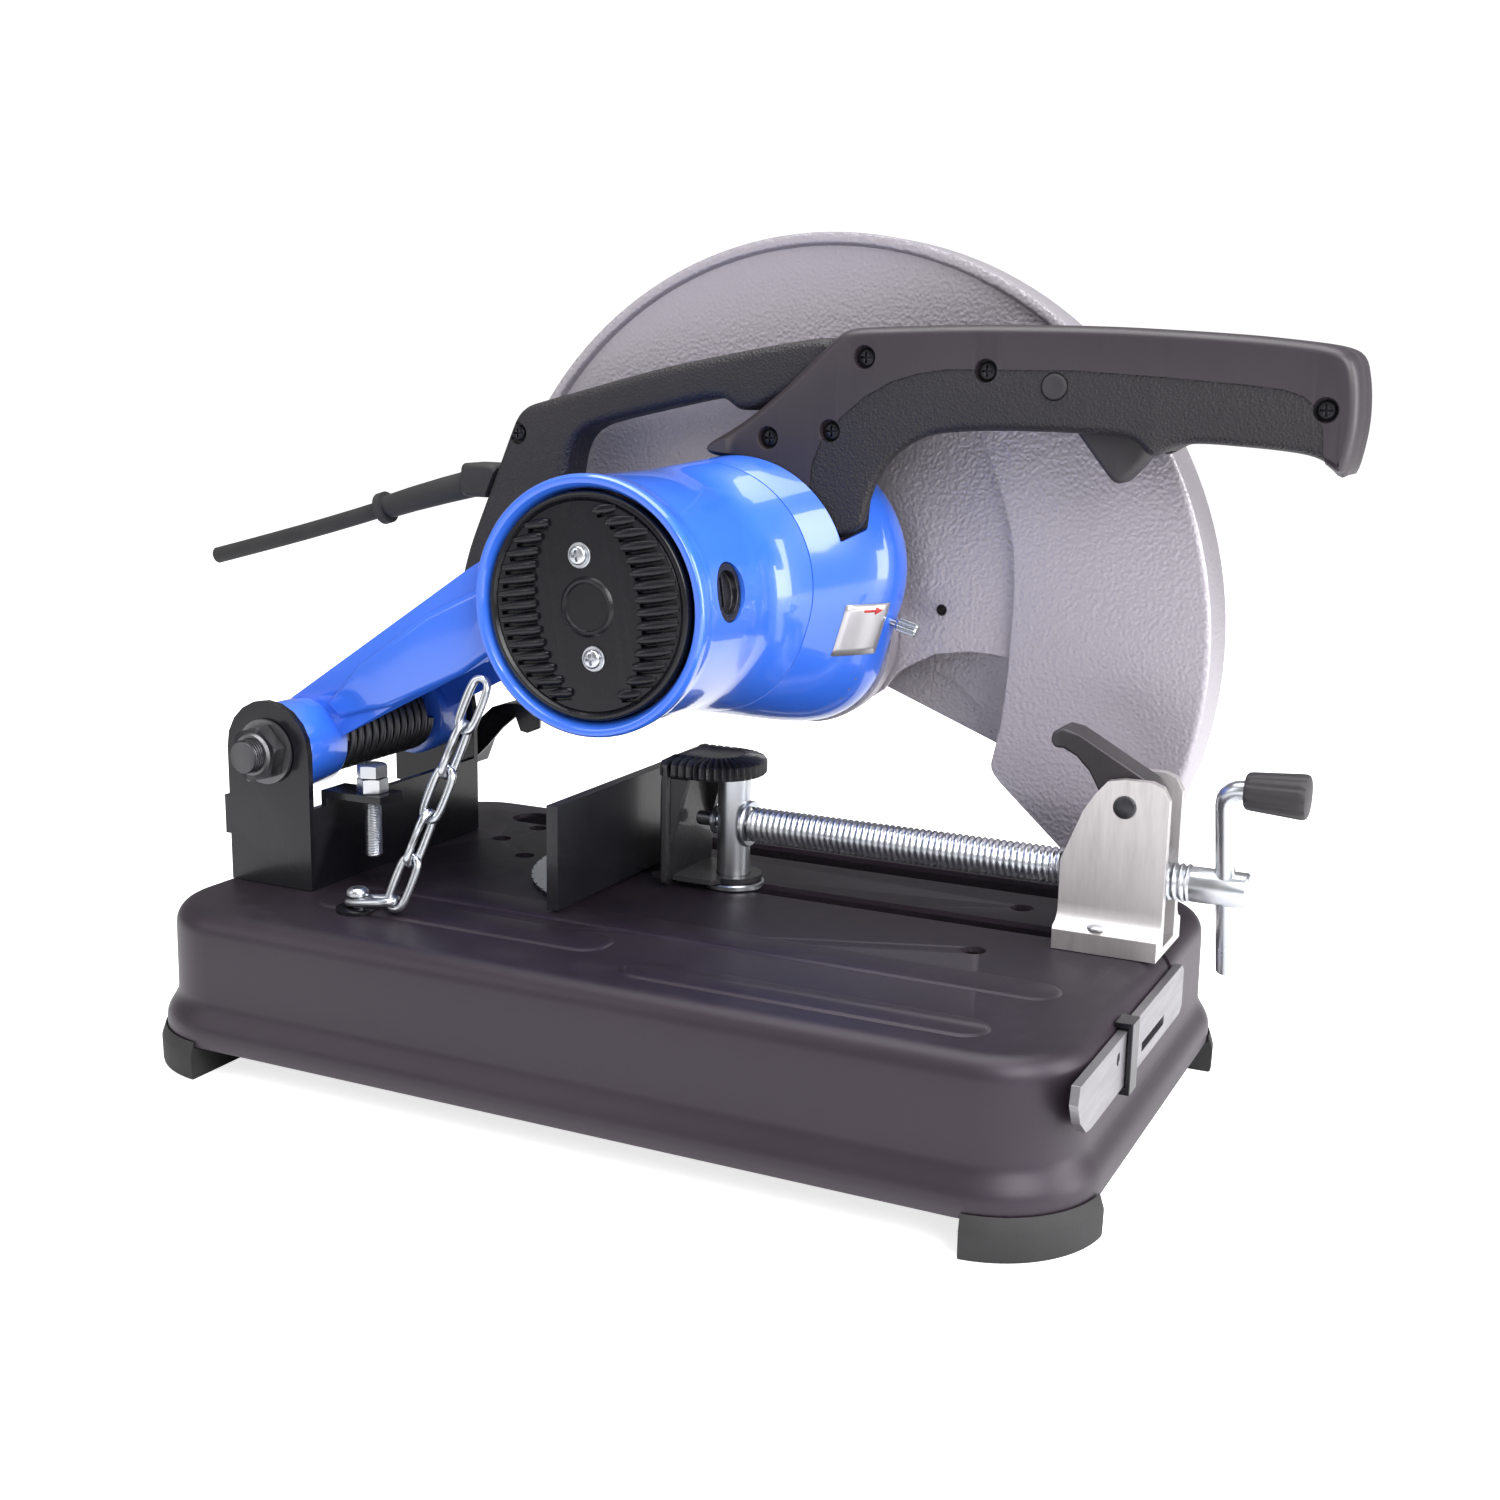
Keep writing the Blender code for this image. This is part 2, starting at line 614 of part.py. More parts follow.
def fixed_guard(paint):
    rear_cut = [(-158, 149), (-60, 160), (-35, 172)]
    near = arc(SPINDLE, GUARD_RADIUS, 195, -5, 40)
    near += [(124, 190), (113, 191.7), (101, 192.2), (86, 189.8), (74.5, 184), (67, 179), (60, 170),
             (44, 159.5), (24, 155), (2, 159)] + rear_cut[::-1]
    far = arc(SPINDLE, GUARD_RADIUS, 195, -30, 45)
    far += [(120, 145), (111.5, 151.5), (103.5, 158.6), (93, 169), (86, 173.5), (78.5, 176.5), (60, 179)]
    far += arc(SPINDLE, 41, -30, -150, 8) + rear_cut[::-1]
    shell = prism(near, GUARD_NEAR, GUARD_NEAR + GUARD_SHEET, "y")
    shell = join(shell, guard_band(GUARD_RADIUS, 195, -5, GUARD_NEAR, GUARD_FAR, 40))
    shell = join(shell, prism(far, GUARD_FAR - GUARD_SHEET, GUARD_FAR, "y"))
    shell = join(shell, rod(SPINDLE, 8, GUARD_FAR - 1, GUARD_FAR + 5.5, "y", 24))
    shell = cut(shell, rod(SPINDLE, 14.5, GUARD_NEAR - 2, GUARD_NEAR + 4, "y", 32))
    shell = cut(shell, rod((88, 211), 2.8, GUARD_NEAR - 2, GUARD_NEAR + 4, "y", 16))
    make_object("fixed_guard", shell, paint, "head")


def swing_guard(paint):
    lower = -33
    upper = 40
    rim = arc(SPINDLE, SWING_RADIUS, lower, upper, 16)
    edge = [(99, 312), (104.5, 295.5), (113.8, 274.7), (121.4, 252), (124.3, 231), (124.4, 209), (123.6, 187),
            (120.8, 157.6), (117, 140), (118.5, 136), (122, 132), (152, 104), (165, 93)]
    near = prism(rim + edge, GUARD_NEAR - 2.6, GUARD_NEAR - 0.6, "y")
    band = guard_band(SWING_RADIUS, lower, upper, GUARD_NEAR - 2.6, GUARD_FAR + 4, 16)
    hub = [(99, 312)] + arc(SPINDLE, 22, 115, 275, 10) + [(117, 140), (122, 132), (152, 104), (165, 93)]
    far = prism(rim + hub, GUARD_FAR + 2, GUARD_FAR + 4, "y")
    guard = join(near, band, far)
    guard = cut(guard, rod(SPINDLE, 8.08, GUARD_FAR - 2, GUARD_FAR + 8, "y", 24))
    make_object("swing_guard", guard, paint, "swing_guard")


# ---------------------------------------------------------------- handle

def handle_outline(depth):
    """Side outline of the main handle, from the leg's spike round the grip's end.

    The leg gets slimmer towards the far side.
    """
    lean = 0.42 * (depth - HANDLE_NEAR)
    outline = [(-24, 283.5), (2, 297), (26, 316), (50, 338.5), (56, 341), (83, 342), (115, 343), (170, 342.7),
               (214, 340.7), (240, 339), (267, 336), (275, 332), (277.8, 319), (278.4, 303), (275, 283.5),
               (271.5, 283), (265, 290), (250, 292.5), (205, 295), (197, 287.5), (192, 287.5), (188, 296),
               (157, 297), (128, 297)]
    leg = [(104, 295.5), (94, 293), (85, 288), (74, 276.5), (69, 263), (68, 252)]
    outline += [(x - lean, z) for x, z in leg]
    outline += [(56 - lean * 0.5, 246), (42, 244.5), (37, 249), (22, 267.5), (5.5, 279)]
    return outline


def grow(points, distance):
    """Offset a counter-clockwise or clockwise outline outwards."""
    area = 0
    count = len(points)
    for index in range(count):
        x0, z0 = points[index]
        x1, z1 = points[(index + 1) % count]
        area += x0 * z1 - x1 * z0
    side = 1 if area > 0 else -1
    grown = []
    for index in range(count):
        before = Vector(points[index]) - Vector(points[index - 1])
        after = Vector(points[(index + 1) % count]) - Vector(points[index])
        normal = Vector((before.y, -before.x)).normalized() + Vector((after.y, -after.x)).normalized()
        normal = normal.normalized() * side
        first = Vector((before.y, -before.x)).normalized() * side
        reach = distance / max(normal.dot(first), 0.5)
        grown.append((points[index][0] + normal.x * reach, points[index][1] + normal.y * reach))
    return grown


def handle_half(name, near, far, inside, paint):
    """One half shell with rounded outer edges; inside is the y of the room's floor."""
    outer_side = near if near < HANDLE_SPLIT - 1 else far
    split_side = far if near < HANDLE_SPLIT - 1 else near
    towards = 1 if split_side > outer_side else -1
    rings = []
    for step, shrink in ((0, -3), (1.5, -0.8), (4, 0), (abs(split_side - outer_side), 0)):
        depth = outer_side + towards * step
        rings.append([(x, depth, z) for x, z in grow(handle_outline(depth), shrink)])
    shell = loft(rings)
    room = [(62, 330), (100, 336), (170, 336), (262, 330), (270, 324), (271, 305), (262, 297), (204, 301),
            (128, 303), (88, 302), (64, 294), (52, 283), (47, 272), (41, 268), (38, 276), (50, 300)]
    shell = cut(shell, prism(room, min(inside, split_side + towards), max(inside, split_side + towards), "y"))
    slot = box((156, HANDLE_SPLIT - 9.6, 280), (198, HANDLE_SPLIT + 9.6, 304))
    shell = cut(shell, slot)
    if near < HANDLE_SPLIT - 1:
        shell = cut(shell, rod(LOCK_BUTTON, 6, near - 5, far + 5, "y", 20))
    make_object(name, shell, paint, "head")


def handle_parts(paint, soft_paint):
    handle_half("handle_near_half", HANDLE_NEAR, HANDLE_SPLIT - GAP / 2, HANDLE_NEAR + 4, paint)
    handle_half("handle_far_half", HANDLE_SPLIT + GAP / 2, HANDLE_FAR, HANDLE_FAR - 4, paint)
    trigger = [(157.5, 310), (157, 300), (163, 293), (171, 283), (176, 277), (180, 276), (191, 288),
               (192, 300), (190, 310)]
    make_object("trigger", prism(trigger, HANDLE_SPLIT - 9, HANDLE_SPLIT + 9, "y"), soft_paint, "trigger")
    button = turned([(HANDLE_NEAR - 0.8, 0), (HANDLE_NEAR - 0.8, 4.6), (HANDLE_NEAR, 5.7), (48, 5.7),
                     (48, 0)], LOCK_BUTTON, "y", 20)
    make_object("lock_button", button, soft_paint, "lock_button")


def carry_handle(paint):
    outline = [(-165, 182.8), (-159, 222), (-135, 276), (-126, 297), (-120, 302), (-109, 305), (-40, 323),
               (20, 334), (45.5, 338), (22.5, 316.5), (-1.5, 297.5), (-6, 305), (-11, 310.5), (-80, 294.5),
               (-90, 289), (-95, 279), (-98, 258), (-99, 244), (-132, 204.9)]
    shape = prism(outline, 44, 68, "y")
    bmesh.ops.bevel(shape, geom=[edge for edge in shape.edges if abs(edge.verts[0].co.y - edge.verts[1].co.y) < 1],
                    offset=3, segments=2, affect="EDGES", clamp_overlap=True)
    keep_off = prism(grow(handle_outline(HANDLE_NEAR), 0.5), 30, 90, "y")
    make_object("carry_handle", cut(shape, keep_off), paint, "head")


def cable_parts(paint):
    y = 56
    sleeve = [(-141, y, 266.3), (-146, y, 265), (-158, y, 262)]
    body = tube(sleeve, 10.5, 20)
    thin = tube([(-156, y, 262.5), (-176, y, 257.4), (-196, y, 252), (-216, y, 246)], 7, 16)
    relief = join(body, thin)
    relief = cut(relief, carry_room())
    make_object("strain_relief", cut(relief, tube(cable_path(y), 4.7, 12)), paint, "head")
    make_object("power_cable", tube(cable_path(y), 4.4, 12), paint, "head")


def carry_room():
    """Keeps the strain relief just off the carry handle's sloping rear edge."""
    return prism([(-149.6, 245), (-123.8, 303), (-90, 303), (-90, 245)], 30, 80, "y")


def cable_path(y):
    return [(-152, y, 263.4), (-176, y, 257.4), (-196, y, 252), (-216, y, 246), (-250, y, 236),
            (-290, y, 225), (-330, y, 214.5)]


def lock_tool(profile):
    """A shape turned about the lock pin's sloping axis; 0 is the pin's inner end."""
    shape = turned(profile, (0, 0), "x", 16)
    slope = math.atan2(-LOCK_WAY[1], LOCK_WAY[0])
    bmesh.ops.rotate(shape, cent=(0, 0, 0), matrix=Matrix.Rotation(slope, 3, "Y"), verts=shape.verts)
    bmesh.ops.translate(shape, vec=(LOCK_END[0], LOCK_Y, LOCK_END[1]), verts=shape.verts)
    return shape


def spindle_lock(paint):
    pin = lock_tool([(0.2, 0), (0.2, 2), (10, 2), (10, 2.6), (11, 3.2), (20, 3.2), (20.8, 2.6), (20.8, 0)])
    make_object("spindle_lock_pin", pin, paint, "spindle_lock")


def spark_deflector(paint):
    """Bent sheet behind the wheel: one side flange and a curved top."""
    top = [(-150, 143.5), (-158, 142.8), (-166, 140), (-175, 132), (-184, 119), (-190, 104)]
    inner = [(-188, 103.5), (-182, 118), (-173.5, 130.4), (-165, 138), (-157.5, 140.6), (-150, 141.2)]
    sheet = prism(top + inner, 81.2, 110, "y")
    flange = [(-150, 143.5), (-158, 142.8), (-166, 140), (-175, 132), (-184, 119), (-190, 104), (-182, 106),
              (-178, 110), (-169, 118.5), (-159.5, 129), (-151, 136), (-148, 128.5), (-143.5, 127.8),
              (-136, 131), (-136, 140)]
    make_object("spark_deflector", join(sheet, prism(flange, 81.2, 83.6, "y")), paint, "head")


# ---------------------------------------------------------------- vise

def vise_post(paint):
    profile = [(69, 0), (69, 13), (73.4, 13), (73.4, 7), (DECK, 7), (DECK, 15), (79.8, 15), (79.8, 8),
               (131.6, 8), (131.6, 5), (138, 5), (138, 0)]
    post = turned(profile, (POST_X, SCREW_Y), "z", 28)
    post = cut(post, rod((SCREW_Y, SCREW_Z), 3.6, -20, 30, "x", 20))
    make_object("vise_post", post, paint, "vise_carriage")


def vise_screw(paint):
    profile = [(-14, 0), (-14, 3.5), (14.2, 3.5), (14.2, 7.8), (16, SCREW_RADIUS), (225, SCREW_RADIUS),
               (226.5, 7.8), (249, 7.8), (250, 6.8), (250, 0)]
    screw = turned(profile, (SCREW_Y, SCREW_Z), "x", 24)
    way = Vector((0, -math.sin(CRANK_TILT), math.cos(CRANK_TILT)))
    middle = Vector((CRANK_X, SCREW_Y, SCREW_Z))
    bore = tube([middle - way * 12, middle + way * 12], ROD_RADIUS + 0.1, 16)
    make_object("vise_screw", cut(screw, bore), paint, "vise_screw")


def crank(rod_paint, grip_paint):
    way = Vector((0, -math.sin(CRANK_TILT), math.cos(CRANK_TILT)))
    along = Vector((1, 0, 0))
    middle = Vector((CRANK_X, SCREW_Y, SCREW_Z))
    bend = 7.5
    path = [middle - way * CRANK_TAIL, middle - way * 13, middle + way * 13, middle + way * (CRANK_ARM - bend)]
    hub = middle + way * (CRANK_ARM - bend) + along * bend
    for step in range(1, 6):
        angle = math.radians(90 * step / 5)
        path.append(hub - along * bend * math.cos(angle) + way * bend * math.sin(angle))
    path.append(middle + way * CRANK_ARM + along * 30)
    make_object("crank_rod", tube(path, ROD_RADIUS, 14), rod_paint, "vise_screw")
    grip_axis = middle + way * CRANK_ARM
    start = CRANK_X + bend + 1
    profile = [(start, ROD_RADIUS + 0.1), (start, 7.6), (start + 1.5, 8), (start + 24, 9.6), (start + 25.5, 8.8),
               (start + 25.5, 0)]
    grip = turned([(start, 0)] + profile[1:], (grip_axis.y, grip_axis.z), "x", 24)
    bore = rod((grip_axis.y, grip_axis.z), ROD_RADIUS + 0.1, start - 2, CRANK_X + 30.5, "x", 20)
    make_object("crank_grip", cut(grip, bore), grip_paint, "crank_grip")


def vise_jaw(paint):
    outline = [(-23, 9), (-23, 57), (-4, 57)] + arc((-4, SCREW_Y), 24, 90, -90, 12)[1:-1] + [(-4, 9)]
    top = prism(outline, 132, 141, "z")
    plate = box((-23, 9, 78), (-18, 57, 136))
    foot_plate = prism([(-22, 14), (-22, 52), (2, 52)] + arc((POST_X, SCREW_Y), 14, 90, -90, 8) + [(2, 14)],
                       80.3, 83, "z")
    jaw = join(plate, top, foot_plate)
    jaw = cut(jaw, rod((POST_X, SCREW_Y), 5.1, 125, 138.3, "z", 20))
    jaw = cut(jaw, rod((POST_X, SCREW_Y), 8.3, 79, 90, "z", 24))
    make_object("vise_jaw", jaw, paint, "vise_jaw")


def nut_bracket(paint):
    low = 11
    high = 2 * SCREW_Y - low
    section = [(low, DECK), (high, DECK), (high, 85.5), (high - 1, 87), (high - 5, 88.5), (high - 7.3, 92),
               (high - 7.6, 96), (high - 7.6, 154), (high - 12.3, 154), (high - 12.3, 80.6),
               (low + 12.3, 80.6), (low + 12.3, 154), (low + 7.6, 154), (low + 7.6, 96), (low + 7.3, 92),
               (low + 5, 88.5), (low + 1, 87), (low, 85.5)]
    bracket = prism(section, 171, 217, "x")
    keep = [(160, 115), (171, 115), (180, 138), (185, 146), (190, 152), (197, 153.4), (209, 153.4), (214, 151.5),
            (216.9, 146), (225, 146), (225, 160), (160, 160)]
    bracket = cut(bracket, prism(keep, 0, 70, "y"))
    bracket = cut(bracket, rod(LEVER_PIN, 5.1, 0, 70, "y", 20))
    make_object("nut_bracket", bracket, paint)


def half_nut(paint, pin_paint):
    outline = [(167, 172), (173, 171), (207, 152), (211, 147), (211, 123), (207.5, 119.3), (202, 117.8),
               (198, 117.4), (190, 118.9), (186.5, 121)]
    outline += [(186, 140), (184, 147), (180, 154), (174, 160), (168, 163), (164, 163), (162, 166), (163, 170)]
    lever = prism(outline, 24, 42, "y")
    lever = cut(lever, rod(LEVER_PIN, 5.1, 20, 50, "y", 20))
    make_object("half_nut_lever", lever, paint, "half_nut")
    pin = rod(LEVER_PIN, 5, 17.6, 48.6, "y", 20)
    make_object("lever_pin", pin, pin_paint)


def fence(paint):
    face = box((FENCE_FACE - 6, -52, 78.5), (FENCE_FACE, 80, FENCE_TOP))
    flange = box((-78, -48, 78.5), (FENCE_FACE - 5, 76, 82.5))
    plate = join(face, flange)
    plate = cut(plate, rod(FENCE_PIVOT, 4.1, 70, 90, "z", 16))
    plate = cut(plate, rod((FENCE_PIVOT[0], -32), 4.1, 70, 90, "z", 16))
    make_object("fence_plate", plate, paint, "fence")


def mitre_scale(paint):
    centre = (-20, 40)
    outline = arc(centre, 80, 186, 262, 14) + arc(centre, 46, 262, 186, 10)
    make_object("mitre_scale", prism(outline, DECK, 78.1, "z"), paint)


def fence_bolts(paint):
    head = prism(hexagon(FENCE_PIVOT, 7.5), 82.8, 88.5, "z")
    stem = rod(FENCE_PIVOT, 4, 66, 84, "z", 16)
    make_object("fence_pivot_bolt", join(head, stem), paint)


# ---------------------------------------------------------------- stored spanner

def spanner(paint, clip_paint):
    outline = [(-122, 70), (-124, 63), (-120, 55), (-111, 48), (-104, 47), (38, 47), (42, 50), (42, 66), (38, 69.5)]
    plate = prism(outline, 219.4, 223, "x")
    plate = cut(plate, rod((-68, 62), 2.6, 215, 230, "x", 16))
    plate = cut(plate, box((215, -30, 52), (230, 8, 56)))
    make_object("spanner", plate, paint, "spanner")
    section = [(219.4, 43), (219.4, 46.5), (223.4, 46.5), (223.4, 70.8), (218, 70.8), (218, 73), (225.4, 73),
               (225.4, 43)]
    make_object("spanner_clip", prism(section, -57, -46, "y"), clip_paint)


# ---------------------------------------------------------------- transport chain

def link_path(centre, along, across):
    """Stadium-shaped centre line of one link."""
    inner = LINK_PITCH + 0.7
    half = inner / 2 + LINK_WIRE - 4.6
    points = []
    for side, start in ((1, -90), (-1, 90)):
        for step in range(5):
            angle = math.radians(start + 180 * step / 4)
            reach = side * half + 4.6 * math.cos(angle)
            points.append(centre + along * reach + across * 4.6 * math.sin(angle))
    return points


def chain_hinge():
    """Where the second link's upper end carries the third link."""
    along = (Vector(CHAIN_HEAD) - Vector(CHAIN_FOOT)).normalized()
    return Vector(CHAIN_FOOT) + along * (LINK_PITCH + 2.15)


def chain(paint, screw_paint):
    """The last link lies on the tray; the rest stand up to the head."""
    foot_point = Vector(CHAIN_FOOT)
    along = (Vector(CHAIN_HEAD) - foot_point).normalized()
    side = (Vector((1, 0, 0)) - along * along.x).normalized()
    other = along.cross(side)
    slope = math.radians(8)
    way = Vector((math.cos(slope), 0, math.sin(slope)))
    last = link_path(Vector((ANCHOR[0] - 4.6, ANCHOR[1], 80.4)) + way * 12.95, way, Vector((0, 1, 0)))
    make_object("chain_link_1", tube(last, LINK_WIRE, 6, closed=True), paint)
    for index in range(CHAIN_LINKS):
        centre = foot_point + along * (LINK_PITCH * (index + 0.5))
        across = side if index % 2 == 0 else other
        shape = tube(link_path(centre, along, across), LINK_WIRE, 6, closed=True)
        body = "chain" if index else None
        make_object("chain_link_%d" % (index + 2), shape, paint, body)
    screw = turned([(66, 0), (66, 2.5), (DECK, 2.5), (DECK, 10), (78.3, 10), (78.3, 2.5), (83.9, 2.5),
                    (83.9, 5.2), (86.4, 4.6), (87.6, 2.5), (87.6, 0)], ANCHOR, "z", 24)
    make_object("chain_anchor_screw", screw, screw_paint)


def build():
    clear_scene()
    satin_black = finish("satin_black_paint", (0.05, 0.045, 0.055), 0.45, 0.1)
    rubber = finish("black_rubber", (0.03, 0.03, 0.03), 0.8, 0)
    blue = finish("blue_paint", (0.03, 0.12, 0.7), 0.2, 0.1)
    grey = finish("hammered_grey_paint", (0.42, 0.4, 0.43), 0.45, 0.3)
    plastic = finish("black_plastic", (0.03, 0.028, 0.03), 0.5, 0)
    zinc = finish("zinc_steel", (0.62, 0.64, 0.68), 0.3, 1)
    brushed = finish("brushed_steel", (0.75, 0.73, 0.73), 0.35, 1)
    dark_steel = finish("dark_steel", (0.12, 0.12, 0.13), 0.45, 0.8)
    copper = finish("motor_iron", (0.3, 0.22, 0.15), 0.5, 0.8)

    joint_empty("head", (PIVOT[0], 0, PIVOT[1]))
    joint_empty("spindle", (SPINDLE[0], 90, SPINDLE[1]))
    joint_empty("armature", (MOTOR[0], 0, MOTOR[1]))
    joint_empty("swing_guard", (SPINDLE[0], 100, SPINDLE[1]))
    joint_empty("trigger", (TRIGGER_PIVOT[0], HANDLE_SPLIT, TRIGGER_PIVOT[1]))
    joint_empty("lock_button", (LOCK_BUTTON[0], HANDLE_NEAR, LOCK_BUTTON[1]))
    joint_empty("spindle_lock", (LOCK_END[0], LOCK_Y, LOCK_END[1]))
    joint_empty("vise_carriage", (POST_X, SCREW_Y, SCREW_Z))
    joint_empty("vise_screw", (CRANK_X, SCREW_Y, SCREW_Z))
    joint_empty("crank_grip", (CRANK_X + 20, SCREW_Y - CRANK_ARM * math.sin(CRANK_TILT),
                               SCREW_Z + CRANK_ARM * math.cos(CRANK_TILT)))
    joint_empty("vise_jaw", (POST_X, SCREW_Y, 100))
    joint_empty("half_nut", (LEVER_PIN[0], SCREW_Y, LEVER_PIN[1]))
    joint_empty("fence", (FENCE_PIVOT[0], FENCE_PIVOT[1], 80))
    joint_empty("stop", (STOP[0], STOP[1], TAB_TOP))
    joint_empty("spanner", (221, -60, 58))
    joint_empty("chain", chain_hinge())

    base_tray(satin_black)
    feet(rubber)
    pivot_bracket(satin_black)
    pivot_fasteners(dark_steel)
    stop_bolt(zinc)
    torsion_spring(dark_steel)

    arm(blue)
    motor_housing(blue)
    motor_end_cover(plastic)
    brush_cap("front", 1, plastic)
    brush_cap("rear", -1, plastic)
    gearcase_cover(grey)
    stator(copper)
    armature(copper)
    cooling_fan(plastic)
    bearing("motor_rear_bearing", MOTOR, 11, 5.1, -56.3, -50, zinc, "head")
    bearing("motor_front_bearing", MOTOR, 14, 6.1, 31, 41, zinc, "head")
    bearing("spindle_front_bearing", SPINDLE, 14, 7.1, 73, 83, zinc, "head")
    gears(dark_steel)
    spindle_parts(zinc)
    fixed_guard(grey)
    swing_guard(grey)
    spark_deflector(satin_black)
    handle_parts(plastic, dark_steel)
    carry_handle(plastic)
    cable_parts(rubber)
    spindle_lock(zinc)

    vise_post(zinc)
    vise_screw(zinc)
    crank(zinc, plastic)
    vise_jaw(satin_black)
    nut_bracket(brushed)
    half_nut(dark_steel, plastic)
    fence(satin_black)
    mitre_scale(zinc)
    fence_bolts(zinc)
    spanner(brushed, satin_black)
    chain(zinc, zinc)


build()
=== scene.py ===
"""Looks of the chop saw: fine surfaces, materials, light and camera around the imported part.

Shapes are laid out in millimetres from the middle of the tray, and make_piece moves them into the
part's frame, in metres.
"""
import json
import math

import bmesh
import bpy
from mathutils import Matrix, Vector


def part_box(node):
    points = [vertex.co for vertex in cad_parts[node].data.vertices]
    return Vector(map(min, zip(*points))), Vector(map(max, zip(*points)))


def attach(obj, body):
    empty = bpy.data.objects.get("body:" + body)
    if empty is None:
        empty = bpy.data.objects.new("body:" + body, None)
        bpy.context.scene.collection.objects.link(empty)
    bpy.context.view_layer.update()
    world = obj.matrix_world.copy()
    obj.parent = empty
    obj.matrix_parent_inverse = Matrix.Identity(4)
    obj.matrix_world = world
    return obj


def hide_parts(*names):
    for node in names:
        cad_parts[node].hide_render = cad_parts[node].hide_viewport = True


MM = 0.001
# The frame's origin seen from the middle of the tray, where shapes are laid out.
LAYOUT = Vector((-26.34, 0, 0))

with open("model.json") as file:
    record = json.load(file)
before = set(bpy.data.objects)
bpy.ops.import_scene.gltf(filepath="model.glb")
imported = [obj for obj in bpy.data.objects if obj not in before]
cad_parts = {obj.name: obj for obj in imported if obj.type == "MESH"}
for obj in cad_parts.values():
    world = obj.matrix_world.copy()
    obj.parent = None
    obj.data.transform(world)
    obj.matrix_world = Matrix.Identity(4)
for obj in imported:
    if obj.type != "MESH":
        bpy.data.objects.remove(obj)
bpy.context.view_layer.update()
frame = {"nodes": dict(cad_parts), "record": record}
RECORD = frame["record"]
BODY_OF = {node: body for body, nodes in RECORD["behaviour"]["bodies"].items() for node in nodes}


def limits(node):
    """Lowest and highest corner of a CAD node, in millimetres."""
    low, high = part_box(node)
    return Vector(low) / MM + LAYOUT, Vector(high) / MM + LAYOUT


def middle(node):
    low, high = limits(node)
    return (low + high) / 2


def side_middle(node):
    """A node's middle as seen from the side, as (x, z)."""
    return middle(node).xz.to_tuple()


def top_middle(node):
    """A node's middle as seen from above, as (x, y)."""
    return middle(node).xy.to_tuple()


HALF_LENGTH, HALF_WIDTH, DECK = limits("base_tray")[1]
PIVOT = side_middle("pivot_nut")
MOTOR = side_middle("motor_end_cover")
SPINDLE = side_middle("outer_flange")
MOTOR_RADIUS = 56
MOTOR_REAR = limits("motor_housing")[0].y
HOUSING_END = limits("motor_housing")[1].y
CASE_END = limits("arm_casting")[1].y
HANDLE_NEAR, HANDLE_SPLIT = [corner.y for corner in limits("handle_near_half")]
HANDLE_FAR = limits("handle_far_half")[1].y
SCREW_Y, SCREW_Z = middle("vise_screw").yz
POST_X = middle("vise_post").x
GUARD_NEAR = limits("fixed_guard")[0].y
GUARD_RADIUS = limits("fixed_guard")[1].z - SPINDLE[1]
SWING_NEAR, SWING_FAR = [corner.y for corner in limits("swing_guard")]
SWING_RADIUS = 192.7


# ---------------------------------------------------------------- shapes

def lift(point, depth, axis):
    first, second = point
    if axis == "x":
        return (depth, first, second)
    if axis == "y":
        return (first, depth, second)
    return (first, second, depth)


def loft(rings, cap=True):
    """Skin between rings with equal point counts; without caps the last ring joins the first."""
    shape = bmesh.new()
    loops = [[shape.verts.new(point) for point in ring] for ring in rings]
    count = len(rings[0])
    if not cap:
        loops.append(loops[0])
    for before, after in zip(loops, loops[1:]):
        for index in range(count):
            right = (index + 1) % count
            shape.faces.new((before[index], before[right], after[right], after[index]))
    if cap:
        ends = [shape.faces.new(loops[0]), shape.faces.new(loops[-1])]
        bmesh.ops.triangulate(shape, faces=ends, quad_method="BEAUTY", ngon_method="EAR_CLIP")
    bmesh.ops.recalc_face_normals(shape, faces=shape.faces)
    return shape


def prism(outline, start, end, axis):
    return loft([[lift(point, depth, axis) for point in outline] for depth in (start, end)])


def box(low, high):
    corners = [(low[0], low[1]), (high[0], low[1]), (high[0], high[1]), (low[0], high[1])]
    return prism(corners, low[2], high[2], "z")


def arc(centre, radius, start, end, steps):
    points = []
    for step in range(steps + 1):
        angle = math.radians(start + (end - start) * step / steps)
        points.append((centre[0] + radius * math.cos(angle), centre[1] + radius * math.sin(angle)))
    return points


def circle(centre, radius, steps):
    return arc(centre, radius, 0, 360, steps)[:-1]


def rod(centre, radius, start, end, axis, steps=32):
    return prism(circle(centre, radius, steps), start, end, axis)


def turned(profile, centre, axis, steps=48):
    """Profile of (along, radius) points about an axis; closed as a ring unless it ends at radius 0."""
    solid = profile[0][1] == 0
    inner = profile[1:-1] if solid else profile
    return loft([[lift(point, along, axis) for point in circle(centre, radius, steps)]
                 for along, radius in inner], cap=solid)


def tube(path, radius, sides=12, closed=False):
    points = [Vector(point) for point in path]
    count = len(points)
    rings = []
    normal = None
    for index, point in enumerate(points):
        if closed:
            tangent = points[(index + 1) % count] - points[index - 1]
        else:
            tangent = points[min(index + 1, count - 1)] - points[max(index - 1, 0)]
        tangent.normalize()
        if normal is None:
            normal = tangent.orthogonal()
        normal = (normal - tangent * normal.dot(tangent)).normalized()
        side = tangent.cross(normal)
        thick = radius(index / (count - 1)) if callable(radius) else radius
        ring = []
        for step in range(sides):
            angle = 2 * math.pi * step / sides
            ring.append(point + (normal * math.cos(angle) + side * math.sin(angle)) * thick)
        rings.append(ring)
    return loft(rings, cap=not closed)


